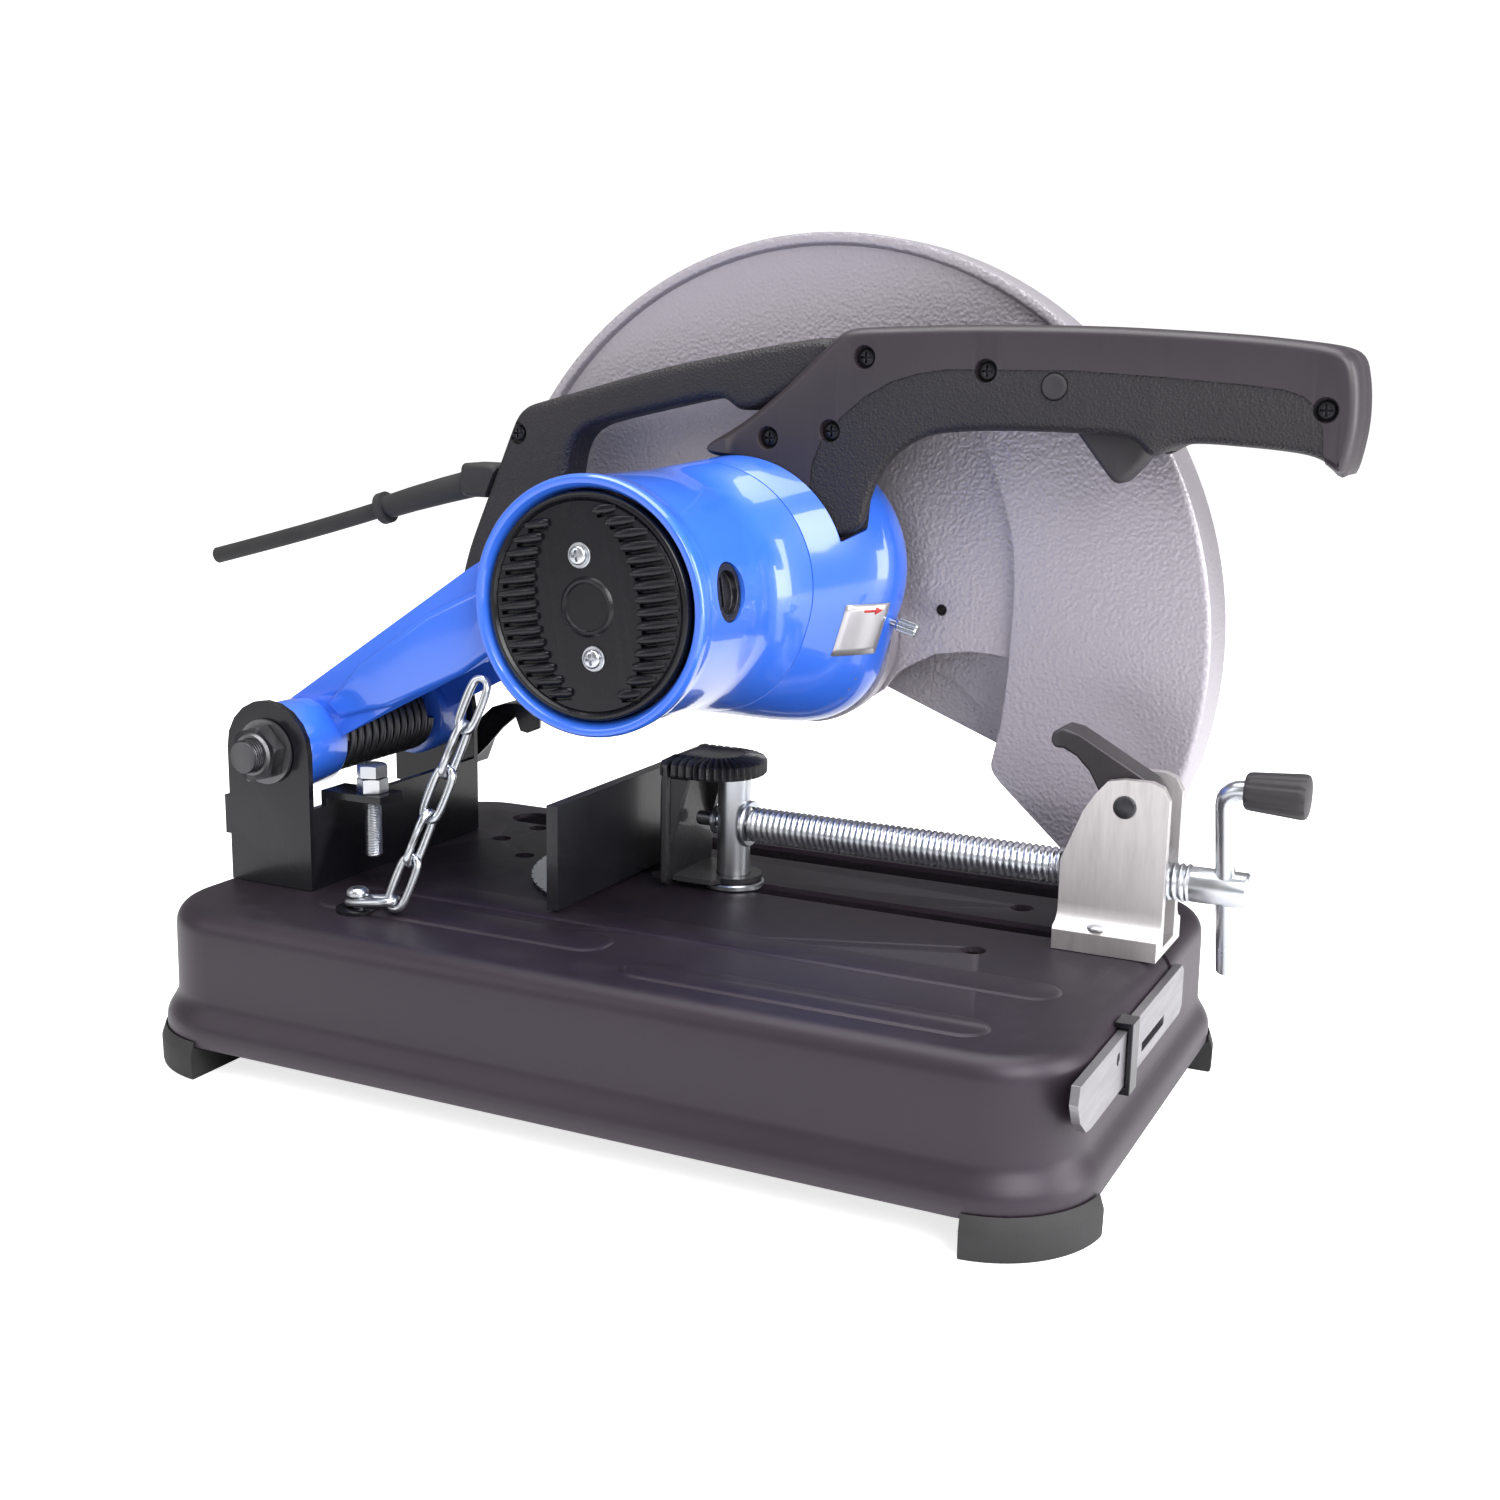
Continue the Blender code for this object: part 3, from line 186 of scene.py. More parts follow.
def merge(*shapes):
    """Put several shapes into one, without a boolean."""
    whole = bmesh.new()
    for shape in shapes:
        mesh = bpy.data.meshes.new("part")
        shape.to_mesh(mesh)
        shape.free()
        whole.from_mesh(mesh)
        bpy.data.meshes.remove(mesh)
    return whole


def combine(first, second, operation):
    """Exact boolean of two shapes; tangled input is tried again with self-intersections allowed."""
    holders = []
    for shape in (first, second):
        mesh = bpy.data.meshes.new("tool")
        shape.to_mesh(mesh)
        shape.free()
        holder = bpy.data.objects.new("tool", mesh)
        bpy.context.scene.collection.objects.link(holder)
        holders.append(holder)
    tool = holders[0].modifiers.new("tool", "BOOLEAN")
    tool.operation = operation
    tool.solver = "EXACT"
    tool.object = holders[1]
    for allow_tangles in (False, True):
        tool.use_self = allow_tangles
        graph = bpy.context.evaluated_depsgraph_get()
        mesh = bpy.data.meshes.new_from_object(holders[0].evaluated_get(graph))
        result = bmesh.new()
        result.from_mesh(mesh)
        bmesh.ops.remove_doubles(result, verts=result.verts, dist=0.001)
        if len(result.faces) > 4 and all(edge.is_manifold for edge in result.edges):
            break
    for holder in holders:
        bpy.data.objects.remove(holder, do_unlink=True)
    return result


def cut(shape, *tools):
    for tool in tools:
        shape = combine(shape, tool, "DIFFERENCE")
    return shape


def move(shape, offset=(0, 0, 0), turn=0, axis="Z", about=(0, 0, 0)):
    """Turn a shape by degrees about an axis through a point, then shift it."""
    spin = Matrix.Rotation(math.radians(turn), 3, axis)
    bmesh.ops.rotate(shape, cent=about, matrix=spin, verts=shape.verts)
    bmesh.ops.translate(shape, vec=offset, verts=shape.verts)
    return shape


def soften(points, rounds=2, share=0.25):
    """Corner cutting, which turns a coarse outline into a smooth one."""
    for _ in range(rounds):
        smooth = []
        for index, point in enumerate(points):
            after = points[(index + 1) % len(points)]
            for part in (share, 1 - share):
                smooth.append((point[0] + (after[0] - point[0]) * part,
                               point[1] + (after[1] - point[1]) * part))
        points = smooth
    return points


def even(points, count):
    """The same outline with a given number of evenly spaced points."""
    closed = [Vector(point) for point in points] + [Vector(points[0])]
    lengths = [(after - before).length for before, after in zip(closed, closed[1:])]
    spacing = sum(lengths) / count
    result = []
    travelled = 0
    for before, after, length in zip(closed, closed[1:], lengths):
        while len(result) < count and len(result) * spacing <= travelled + length:
            share = (len(result) * spacing - travelled) / length
            result.append(tuple(before.lerp(after, share)))
        travelled += length
    return result


def room_inside(points, index, way):
    """Clear distance from an outline point, along a direction, to the other side of the outline."""
    origin = points[index]
    count = len(points)
    clear = 1000
    for other in range(count):
        if other in (index, (index - 1) % count):
            continue
        start = points[other] - origin
        edge = points[(other + 1) % count] - points[other]
        cross = way.x * edge.y - way.y * edge.x
        if abs(cross) > 1e-9:
            along = (start.x * edge.y - start.y * edge.x) / cross
            share = (start.x * way.y - start.y * way.x) / cross
            if along > 0.01 and 0 <= share <= 1:
                clear = min(clear, along)
    return clear


def inward_normals(points):
    area = sum(a.x * b.y - b.x * a.y for a, b in zip(points, points[1:] + points[:1]))
    side = -1 if area > 0 else 1
    normals = []
    for index, point in enumerate(points):
        before = point - points[index - 1]
        after = points[(index + 1) % len(points)] - point
        normal = Vector((before.y, -before.x)).normalized() + Vector((after.y, -after.x)).normalized()
        normals.append(normal.normalized() * side)
    return normals


def nearby(values, index):
    """The values round an index of a closed list, in order."""
    return [values[(index + step) % len(values)] for step in range(-4, 5)]


def inset_outline(points, distance):
    """Move an outline inwards in small steps, less where it is narrow, relaxing tight corners.

    A negative distance moves it outwards, in one step.
    """
    steps = 8
    relax = 0.12
    moved = [Vector(point) for point in points]
    if distance <= 0:
        return [tuple(point - normal * -distance) for point, normal in zip(moved, inward_normals(moved))]
    places = range(len(moved))
    room = [room_inside(moved, index, normal) for index, normal in enumerate(inward_normals(moved))]
    tight = [min(nearby(room, index)) for index in places]
    share = [min(1, 0.3 * sum(nearby(tight, index)) / 9 / distance) for index in places]
    for _ in range(steps):
        normals = inward_normals(moved)
        moved = [point + normal * (distance / steps * part)
                 for point, normal, part in zip(moved, normals, share)]
        moved = [point * (1 - 2 * relax) + (moved[index - 1] + moved[(index + 1) % len(moved)]) * relax
                 for index, point in enumerate(moved)]
    return [tuple(point) for point in moved]


def pillow(outline, start, end, axis, radius, steps=4):
    """Prism whose outer edges are rounded at both ends."""
    rings = []
    for near, sign in ((start, 1), (end, -1)):
        side = []
        for step in range(steps + 1):
            angle = math.pi / 2 * step / steps
            shrink = radius * (1 - math.sin(angle))
            depth = near + sign * radius * (1 - math.cos(angle))
            side.append([lift(point, depth, axis) for point in inset_outline(outline, shrink)])
        rings += side if sign > 0 else side[::-1]
    return loft(rings)


def rounded_rectangle(half_x, half_y, radius, steps=5, centre=(0, 0)):
    points = []
    for side_x, side_y, start in ((1, 1, 0), (-1, 1, 90), (-1, -1, 180), (1, -1, 270)):
        corner = (centre[0] + side_x * (half_x - radius), centre[1] + side_y * (half_y - radius))
        points += arc(corner, radius, start, start + 90, steps)
    return points


def hull_ring(circles, depth, steps=96):
    ring = []
    for step in range(steps):
        angle = 2 * math.pi * step / steps
        way = (math.cos(angle), math.sin(angle))
        x, z, radius = max(circles, key=lambda item: item[0] * way[0] + item[1] * way[1] + item[2])
        ring.append(Vector((x + radius * way[0], depth, z + radius * way[1])))
    return ring


def housing_ring(depth, grow=0):
    """The blue housing's section: round at the rear, swelling to the gearcase.

    The lower lobe starts to swell further back than the upper one.
    """
    shares = []
    for start in (0, -35):
        share = min(max((depth - start) / (CASE_END - 4 - start), 0), 1)
        shares.append(share * share * (3 - 2 * share))
    upper_share, lower_share = shares
    motor = (*MOTOR, MOTOR_RADIUS)
    upper_lobe = (MOTOR[0] + 40, MOTOR[1] + 9.5, 57)
    lower_lobe = (*SPINDLE, 43)
    lobes = (motor, upper_lobe, lower_lobe)
    rings = [hull_ring(lobes[:count], depth) for count in (1, 2, 3)]
    ring = []
    for plain, upper, full in zip(*rings):
        point = plain.lerp(upper, upper_share) + (full - upper) * lower_share ** 3
        way = Vector((plain.x - MOTOR[0], 0, plain.z - MOTOR[1])).normalized()
        ring.append(point + way * grow)
    return ring


def phillips(centre, face, radius, axis="y", side=-1, height=2.2):
    """Pan-head cross-recess screw whose seat is at `face`; it stands out towards `side`."""
    profile = [(face - side * 2, 0), (face - side * 2, radius * 0.5), (face, radius * 0.5), (face, radius)]
    for step in range(7):
        angle = math.pi / 2 * step / 6
        profile.append((face + side * (height * 0.35 + height * 0.65 * math.sin(angle)),
                        radius * (0.38 + 0.62 * math.cos(angle))))
    profile.append((face + side * height, 0))
    head = turned(profile, centre, axis, 24)
    half = radius * 0.6
    wide = radius * 0.14
    deep = face + side * height * 0.25
    top = face + side * (height + 1)
    for size in ((half, wide), (wide, half)):
        outline = [(centre[0] + side_x * size[0], centre[1] + side_y * size[1])
                   for side_x, side_y in ((-1, -1), (1, -1), (1, 1), (-1, 1))]
        head = cut(head, prism(outline, min(deep, top), max(deep, top), axis))
    return head


# ---------------------------------------------------------------- pieces

def make_piece(name, shape, paint, body, replaces=(), slot=None, angle=35, bevel=0, segments=2):
    """Turn a shape in millimetres into a piece that rides on a body."""
    bmesh.ops.translate(shape, vec=-LAYOUT, verts=shape.verts)
    bmesh.ops.scale(shape, vec=(MM, MM, MM), verts=shape.verts)
    bmesh.ops.recalc_face_normals(shape, faces=shape.faces)
    mesh = bpy.data.meshes.new(name)
    shape.to_mesh(mesh)
    shape.free()
    mesh.shade_smooth()
    mesh.set_sharp_from_angle(angle=math.radians(angle))
    mesh.materials.append(paint)
    item = bpy.data.objects.new(name, mesh)
    bpy.context.scene.collection.objects.link(item)
    if bevel:
        edge = item.modifiers.new("edge", "BEVEL")
        edge.width = bevel * MM
        edge.segments = segments
        edge.limit_method = "ANGLE"
        edge.angle_limit = math.radians(40)
        edge.harden_normals = True
    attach(item, body)
    if replaces:
        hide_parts(*replaces)
    return item


def node_shape(node):
    """A welded copy of a CAD node's mesh, in millimetres."""
    shape = bmesh.new()
    shape.from_mesh(frame["nodes"][node].data)
    bmesh.ops.remove_doubles(shape, verts=shape.verts, dist=1e-6)
    bmesh.ops.dissolve_limit(shape, angle_limit=math.radians(0.5), verts=shape.verts, edges=shape.edges)
    bmesh.ops.scale(shape, vec=(1 / MM, 1 / MM, 1 / MM), verts=shape.verts)
    bmesh.ops.translate(shape, vec=LAYOUT, verts=shape.verts)
    return shape


def dress(node, paint, bevel=0.5, angle=35, segments=2):
    """Stand a smooth-shaded, bevelled copy in for a CAD node whose shape is right."""
    return make_piece(node + "_skin", node_shape(node), paint, BODY_OF[node], (node,), angle=angle,
                      bevel=bevel, segments=segments)


def stand_in(node, shape, paint, **options):
    return make_piece(node + "_skin", shape, paint, BODY_OF[node], (node,), **options)


# ---------------------------------------------------------------- materials

class Finish:
    """A Principled material built up from small procedural layers."""

    def __init__(self, name, colour, roughness, metallic=0.0, coat=0.0):
        self.material = bpy.data.materials.new(name)
        self.material.use_nodes = True
        self.nodes = self.material.node_tree.nodes
        self.links = self.material.node_tree.links
        self.shader = self.nodes["Principled BSDF"]
        self.shader.inputs["Roughness"].default_value = roughness
        self.shader.inputs["Metallic"].default_value = metallic
        self.shader.inputs["Coat Weight"].default_value = coat
        self.shader.inputs["Coat Roughness"].default_value = 0.06
        self.place = self.nodes.new("ShaderNodeTexCoord").outputs["Object"]
        paint = self.nodes.new("ShaderNodeRGB")
        paint.outputs[0].default_value = (*colour, 1)
        self.colour = paint.outputs[0]
        self.rough = self.value(roughness)
        self.bumps = []

    def value(self, number):
        node = self.nodes.new("ShaderNodeValue")
        node.outputs[0].default_value = number
        return node.outputs[0]

    def mapped(self, stretch=(1, 1, 1)):
        node = self.nodes.new("ShaderNodeMapping")
        node.inputs["Scale"].default_value = stretch
        self.links.new(self.place, node.inputs["Vector"])
        return node.outputs[0]

    def noise(self, scale, detail=3, stretch=(1, 1, 1), rough=0.5):
        node = self.nodes.new("ShaderNodeTexNoise")
        node.inputs["Scale"].default_value = scale
        node.inputs["Detail"].default_value = detail
        node.inputs["Roughness"].default_value = rough
        self.links.new(self.mapped(stretch), node.inputs["Vector"])
        return node.outputs["Fac"]

    def cells(self, scale, feature="F1"):
        node = self.nodes.new("ShaderNodeTexVoronoi")
        node.feature = feature
        node.inputs["Scale"].default_value = scale
        if feature == "SMOOTH_F1":
            node.inputs["Smoothness"].default_value = 0.8
        self.links.new(self.mapped(), node.inputs["Vector"])
        return node.outputs["Distance"]

    def remap(self, source, low, high, to_low=0.0, to_high=1.0):
        node = self.nodes.new("ShaderNodeMapRange")
        for index, number in enumerate((low, high, to_low, to_high)):
            node.inputs[index + 1].default_value = number
        self.links.new(source, node.inputs[0])
        return node.outputs[0]

    def maths(self, operation, first, second):
        node = self.nodes.new("ShaderNodeMath")
        node.operation = operation
        for slot, source in zip(node.inputs, (first, second)):
            if isinstance(source, (int, float)):
                slot.default_value = source
            else:
                self.links.new(source, slot)
        return node.outputs[0]

    def tint(self, factor, colour):
        """Blend another colour in where factor is high."""
        node = self.nodes.new("ShaderNodeMix")
        node.data_type = "RGBA"
        self.links.new(factor, node.inputs[0])
        self.links.new(self.colour, node.inputs[6])
        node.inputs[7].default_value = (*colour, 1)
        self.colour = node.outputs[2]
        return self

    def patches(self, texture, low, high, amount, colour):
        """Tint the places where a texture is between low and high, or above."""
        return self.tint(self.remap(texture, low, high, 0, amount), colour)

    def wear(self, low, high, amount, colour):
        """Tint convex edges, where paint wears first."""
        pointiness = self.nodes.new("ShaderNodeNewGeometry").outputs["Pointiness"]
        return self.tint(self.maths("MULTIPLY", self.remap(pointiness, low, high), amount), colour)

    def roughen(self, factor, amount):
        self.rough = self.maths("ADD", self.rough, self.maths("MULTIPLY", factor, amount))
        return self

    def upward(self):
        node = self.nodes.new("ShaderNodeNewGeometry")
        split = self.nodes.new("ShaderNodeSeparateXYZ")
        self.links.new(node.outputs["Normal"], split.inputs[0])
        return split.outputs["Z"]

    def bump(self, source, depth, strength=1.0):
        """Depth is the height of the texture in metres."""
        self.bumps.append((source, depth, strength))
        return self

    def done(self):
        previous = None
        for source, depth, strength in self.bumps:
            node = self.nodes.new("ShaderNodeBump")
            node.inputs["Strength"].default_value = strength
            node.inputs["Distance"].default_value = depth
            self.links.new(source, node.inputs["Height"])
            if previous:
                self.links.new(previous, node.inputs["Normal"])
            previous = node.outputs[0]
        if previous:
            self.links.new(previous, self.shader.inputs["Normal"])
        self.links.new(self.colour, self.shader.inputs["Base Color"])
        self.links.new(self.rough, self.shader.inputs["Roughness"])
        return self.material


def powder_black():
    """Satin black powder coat with a faint plum sheen, orange peel, dust and worn edges; upward faces are
    painted darker as painted shade.
    """
    paint = Finish("powder_black", (0.018, 0.0115, 0.018), 0.42, 0.0, 0.12)
    upward = paint.upward()
    paint.links.new(paint.remap(upward, 0.7, 1, 0.42, 0.22), paint.shader.inputs["Specular IOR Level"])
    paint.shader.inputs["Coat Roughness"].default_value = 0.35
    paint.shader.inputs["Specular Tint"].default_value = (0.93, 0.86, 0.98, 1)
    cloud = paint.noise(14, 4)
    paint.patches(cloud, 0.35, 0.75, 0.55, (0.025, 0.018, 0.025))
    # Painted shade: faces that point upwards, such as the deck, are tinted darker than the sides.
    paint.patches(upward, 0.7, 1, 0.55, (0.008, 0.007, 0.010))
    dust = paint.maths("MULTIPLY", paint.remap(paint.noise(60, 6), 0.5, 0.8), paint.remap(upward, 0.4, 1))
    paint.tint(paint.maths("MULTIPLY", dust, 0.05), (0.12, 0.11, 0.12))
    paint.wear(0.54, 0.66, 0.25, (0.12, 0.11, 0.12))
    paint.roughen(cloud, 0.1).roughen(dust, 0.1)
    paint.bump(paint.noise(1500, 2), 0.00006, 0.5).bump(paint.noise(90, 2), 0.0002, 0.25)
    return paint.done()


def gloss_black():
    """Smooth, shiny black enamel for bent brackets and the fence."""
    paint = Finish("gloss_black", (0.004, 0.004, 0.006), 0.18, 0.0, 0.1)
    paint.shader.inputs["Specular IOR Level"].default_value = 0.35
    cloud = paint.noise(25, 3)
    paint.patches(cloud, 0.4, 0.75, 0.6, (0.010, 0.009, 0.012))
    paint.wear(0.54, 0.64, 0.06, (0.14, 0.14, 0.15))
    paint.roughen(paint.noise(40, 5), 0.12)
    paint.bump(paint.noise(700, 2), 0.00006, 0.4)
    return paint.done()


def blue_gloss():
    """Cobalt blue lacquer under a clear coat, with a little orange peel and cast waviness."""
    paint = Finish("blue_gloss", (0.030, 0.135, 0.66), 0.26, 0.0, 1.0)
    paint.shader.inputs["Coat Roughness"].default_value = 0.05
    cloud = paint.noise(9, 3)
    paint.patches(cloud, 0.3, 0.8, 0.5, (0.030, 0.14, 0.78))
    specks = paint.remap(paint.noise(900, 2), 0.72, 0.8, 0, 0.25)
    paint.tint(specks, (0.10, 0.22, 0.85))
    paint.wear(0.56, 0.68, 0.3, (0.16, 0.30, 0.9))
    paint.roughen(paint.noise(30, 4), 0.08)
    paint.bump(paint.noise(160, 2), 0.00008, 0.35).bump(paint.noise(18, 2), 0.0006, 0.15)
    return paint.done()


def hammered_grey():
    """Silver-grey hammer finish: soft cells and fine grain over a metallic base."""
    paint = Finish("hammered_grey", (0.40, 0.37, 0.415), 0.36, 0.55, 0.25)
    paint.shader.inputs["Coat Roughness"].default_value = 0.25
    cells = paint.cells(520, "SMOOTH_F1")
    wrinkle = paint.noise(640, 4, rough=0.6)
    cloud = paint.noise(7, 3)
    paint.patches(cloud, 0.35, 0.7, 0.5, (0.385, 0.368, 0.395))
    paint.patches(wrinkle, 0.55, 0.75, 0.25, (0.46, 0.45, 0.48))
    paint.wear(0.55, 0.66, 0.15, (0.62, 0.60, 0.64))
    paint.roughen(wrinkle, 0.14)
    paint.bump(cells, 0.0006, 0.6).bump(wrinkle, 0.0005, 0.6)
    return paint.done()


def plastic(name, colour, roughness, grain=None, sheen=0.0, mirror=0.5, wear=0.3):
    """Black moulded plastic; grain is the size of the leather texture in metres."""
    paint = Finish(name, colour, roughness, 0.0, sheen)
    paint.shader.inputs["Specular IOR Level"].default_value = mirror
    paint.shader.inputs["Coat Roughness"].default_value = 0.3
    paint.patches(paint.noise(20, 4), 0.35, 0.75, 0.5, tuple(part * 1.6 for part in colour))
    paint.wear(0.53, 0.62, wear, (0.09, 0.085, 0.09))
    if grain:
        pebbles = paint.cells(1 / grain, "F1")
        creases = paint.noise(0.7 / grain, 5, rough=0.65)
        paint.roughen(creases, 0.2)
        paint.bump(pebbles, grain * 0.42, 0.8).bump(creases, grain * 0.3, 0.6)
    else:
        paint.roughen(paint.noise(60, 5), 0.14)
        paint.bump(paint.noise(2400, 2), 0.00006, 0.6).bump(paint.noise(120, 3), 0.00008, 0.3)
    return paint.done()


def zinc():
    """Bright zinc plate: cool, slightly cloudy, with fine wear marks and a faint yellow bloom."""
    paint = Finish("zinc", (0.56, 0.58, 0.62), 0.20, 1.0)
    cloud = paint.noise(70, 4)
    paint.patches(cloud, 0.45, 0.75, 0.45, (0.68, 0.67, 0.63))
    paint.patches(paint.noise(300, 5), 0.6, 0.75, 0.4, (0.40, 0.41, 0.44))
    paint.roughen(cloud, 0.2)
    paint.bump(paint.noise(1400, 3), 0.00005, 0.6)
    return paint.done()


def brushed(name, colour, stretch, roughness=0.34):
    """Ground steel with fine lines drawn out along the direction of the smallest stretch."""
    paint = Finish(name, colour, roughness, 1.0)
    lines = paint.noise(260, 5, stretch=stretch, rough=0.7)
    broad = paint.noise(28, 4)
    paint.patches(lines, 0.35, 0.7, 0.6, tuple(part * 0.72 for part in colour))
    paint.patches(broad, 0.45, 0.7, 0.35, tuple(min(part * 1.12, 1) for part in colour))
    paint.roughen(lines, 0.3)
    paint.bump(lines, 0.00012, 0.7)
    return paint.done()


def dark_metal(name="dark_metal", colour=(0.022, 0.022, 0.026), roughness=0.30):
    """Black-oxide steel with oily patches and bright corners."""
    paint = Finish(name, colour, roughness, 0.85)
    patch = paint.noise(110, 5)
    paint.patches(patch, 0.45, 0.75, 0.6, (0.05, 0.047, 0.05))
    paint.wear(0.53, 0.62, 0.5, (0.32, 0.32, 0.33))
    paint.roughen(patch, 0.2)
    paint.bump(paint.noise(900, 4), 0.00008, 0.6)
    return paint.done()


def cast_black():
    """Painted casting: coarse sand texture under satin black."""
    paint = Finish("cast_black", (0.008, 0.007, 0.009), 0.32, 0.1, 0.3)
    sand = paint.noise(620, 4, rough=0.6)
    paint.patches(sand, 0.5, 0.75, 0.5, (0.018, 0.016, 0.019))
    paint.wear(0.54, 0.64, 0.2, (0.16, 0.155, 0.16))
    paint.roughen(sand, 0.2)
    paint.bump(sand, 0.0003, 0.6)
    return paint.done()


def rubber():
    """Matte moulded rubber with a dusty bloom."""
    paint = Finish("rubber", (0.016, 0.015, 0.016), 0.62)
    bloom = paint.noise(35, 5)
    paint.patches(bloom, 0.45, 0.75, 0.5, (0.036, 0.034, 0.036))
    paint.roughen(bloom, 0.15)
    paint.bump(paint.noise(1300, 3), 0.00012, 0.6)
    return paint.done()


def laminations():
    """Varnished motor iron: thin stacked sheets and copper-coloured tint."""
    paint = Finish("laminations", (0.24, 0.14, 0.08), 0.45, 0.8)
    sheets = paint.nodes.new("ShaderNodeTexWave")
    sheets.bands_direction = "Y"
    sheets.inputs["Scale"].default_value = 320
    paint.links.new(paint.place, sheets.inputs["Vector"])
    paint.patches(sheets.outputs["Fac"], 0.3, 0.7, 0.6, (0.10, 0.08, 0.07))
    paint.bump(sheets.outputs["Fac"], 0.0001, 0.6)
    return paint.done()


def label_silver():
    """Plain satin foil sticker."""
    paint = Finish("label_silver", (0.52, 0.51, 0.53), 0.3, 0.7, 0.3)
    paint.patches(paint.noise(40, 3), 0.4, 0.7, 0.4, (0.42, 0.41, 0.43))
    paint.bump(paint.noise(800, 2), 0.00004, 0.4)
    return paint.done()


def arrow_red():
    paint = Finish("arrow_red", (0.55, 0.03, 0.03), 0.4)
    paint.patches(paint.noise(200, 3), 0.4, 0.7, 0.4, (0.4, 0.02, 0.02))
    return paint.done()


def floor_paint():
    """White paper that looks bright to the camera without lighting the saw from below."""
    paint = Finish("studio_floor", (0.90, 0.90, 0.91), 0.6)
    paint.patches(paint.noise(3, 2), 0.3, 0.7, 0.3, (0.88, 0.88, 0.90))
    seen = paint.nodes.new("ShaderNodeLightPath")
    paint.shader.inputs["Emission Color"].default_value = (1, 1, 1, 1)
    paint.links.new(paint.remap(seen.outputs["Is Camera Ray"], 0, 1, 0, 0.75),
                    paint.shader.inputs["Emission Strength"])
    return paint.done()


POWDER = powder_black()
GLOSS = gloss_black()
BLUE = blue_gloss()
GREY = hammered_grey()
SMOOTH = plastic("plastic_smooth", (0.020, 0.015, 0.020), 0.40, sheen=0.12)
LEATHER = plastic("plastic_leather", (0.010, 0.008, 0.010), 0.45, grain=0.0012, sheen=0.05, wear=0.06)
SHINY = plastic("plastic_shiny", (0.004, 0.004, 0.006), 0.20, sheen=0.1, mirror=0.3, wear=0.05)
SOFT = plastic("plastic_soft", (0.022, 0.019, 0.022), 0.5)
ZINC = zinc()
BRACKET = brushed("bracket_steel", (0.74, 0.71, 0.71), (1, 1, 0.12))
FLAT = brushed("spanner_steel", (0.34, 0.33, 0.35), (1, 0.1, 1), 0.28)
DARK = dark_metal()
LEVER = dark_metal("lever_steel", (0.055, 0.05, 0.055), 0.42)
CAST = cast_black()
RUBBER = rubber()
IRON = laminations()


# ---------------------------------------------------------------- base

TRAY_CORNER = 45


def tray_ring(height, inset):
    radius = max(TRAY_CORNER - inset, 8)
    return [(x, y, height) for x, y in rounded_rectangle(HALF_LENGTH - inset, HALF_WIDTH - inset, radius, 16)]


def tray_profile():
    """(height, inset) from the deck's edge down the outside, round the lip and up the inside."""
    profile = []
    for step in range(9):
        angle = math.pi / 2 * (1 - step / 8)
        profile.append((DECK - 10 + 10 * math.sin(angle), 16 - 10 * math.cos(angle)))
    profile += [(58, 5.9), (46, 5.8), (36, 5.7)]
    for step in range(1, 8):
        share = step / 7
        profile.append((36 - 14 * share, 5.7 * (1 + math.cos(math.pi * share)) / 2))
    profile += [(16, 0), (15.2, 0.5), (15, 1.3), (15.2, 2.1), (16, 2.6)]
    profile += [(21.5, 2.6), (34, 8.3), (DECK - 11, 8.6), (DECK - 4.5, 11.5), (DECK - 2.5, 17)]
    return profile


def raised_strip(low, high, radius=11):
    """Shallow embossed panel on the deck."""
    centre = ((low[0] + high[0]) / 2, (low[1] + high[1]) / 2)
    half = ((high[0] - low[0]) / 2, (high[1] - low[1]) / 2)
    rings = []
    for inset, height in ((0, -1), (0, 0.05), (0.7, 0.35), (1.4, 0.8), (2.2, 1.0)):
        outline = rounded_rectangle(half[0] - inset, half[1] - inset, radius - inset, 6, centre)
        rings.append([(x, y, DECK + height) for x, y in outline])
    return loft(rings)


def base_tray():
    tray = loft([tray_ring(height, inset) for height, inset in tray_profile()])
    low = DECK - 8
    high = DECK + 3
    slots = [prism(arc((-151, 98), 11, 90, 270, 10) + arc((160, 98), 11, -90, 90, 10), low, high, "z"),
             prism(arc((-32, 33.5), 8, 90, 270, 10) + arc((196, 33.5), 8, -90, 90, 10), low, high, "z"),
             box((205, 30, 63), (222, 34.5, 80))]
    for x, y, radius in ((141, 64, 5.5), (142, -8, 5.5), (-141, 52, 5), (-112, 29, 5), (-136, 80, 5)):
        slots.append(rod((x, y), radius, low, high, "z", 28))
    tray = cut(tray, *slots)
    strips = [raised_strip((-152, -93), (1, -67)), raised_strip((-152, -59), (193, -36)),
              raised_strip((20, -112), (181, -90))]
    stand_in("base_tray", merge(tray, *strips), POWDER, angle=40, bevel=0.7)


def foot(node, side_x, side_y):
    corner = (180, 91)
    levels = ((1.6, 0), (2.4, 0.6), (2.7, 2), (2.9, 12), (2.5, 13.2), (1.1, 17.4), (0.6, 18), (0.3, 17.6),
              (0.3, 14.7))
    shape = bmesh.new()
    loops = []
    for offset, height in levels:
        points = arc(corner, TRAY_CORNER + offset, 85, 5, 24)
        loops.append([shape.verts.new((side_x * x, side_y * y, height)) for x, y in points])
    inner_low = shape.verts.new((side_x * 184, side_y * 95, 0))
    inner_high = shape.verts.new((side_x * 184, side_y * 95, 14.7))
    for before, after in zip(loops, loops[1:]):
        for index in range(len(before) - 1):
            shape.faces.new((before[index], before[index + 1], after[index + 1], after[index]))
    shape.faces.new([inner_low] + loops[0])
    shape.faces.new([inner_high] + loops[-1])
    for end in (0, -1):
        shape.faces.new([inner_low] + [loop[end] for loop in loops] + [inner_high])
    stand_in(node, shape, RUBBER, angle=50, bevel=0.5)


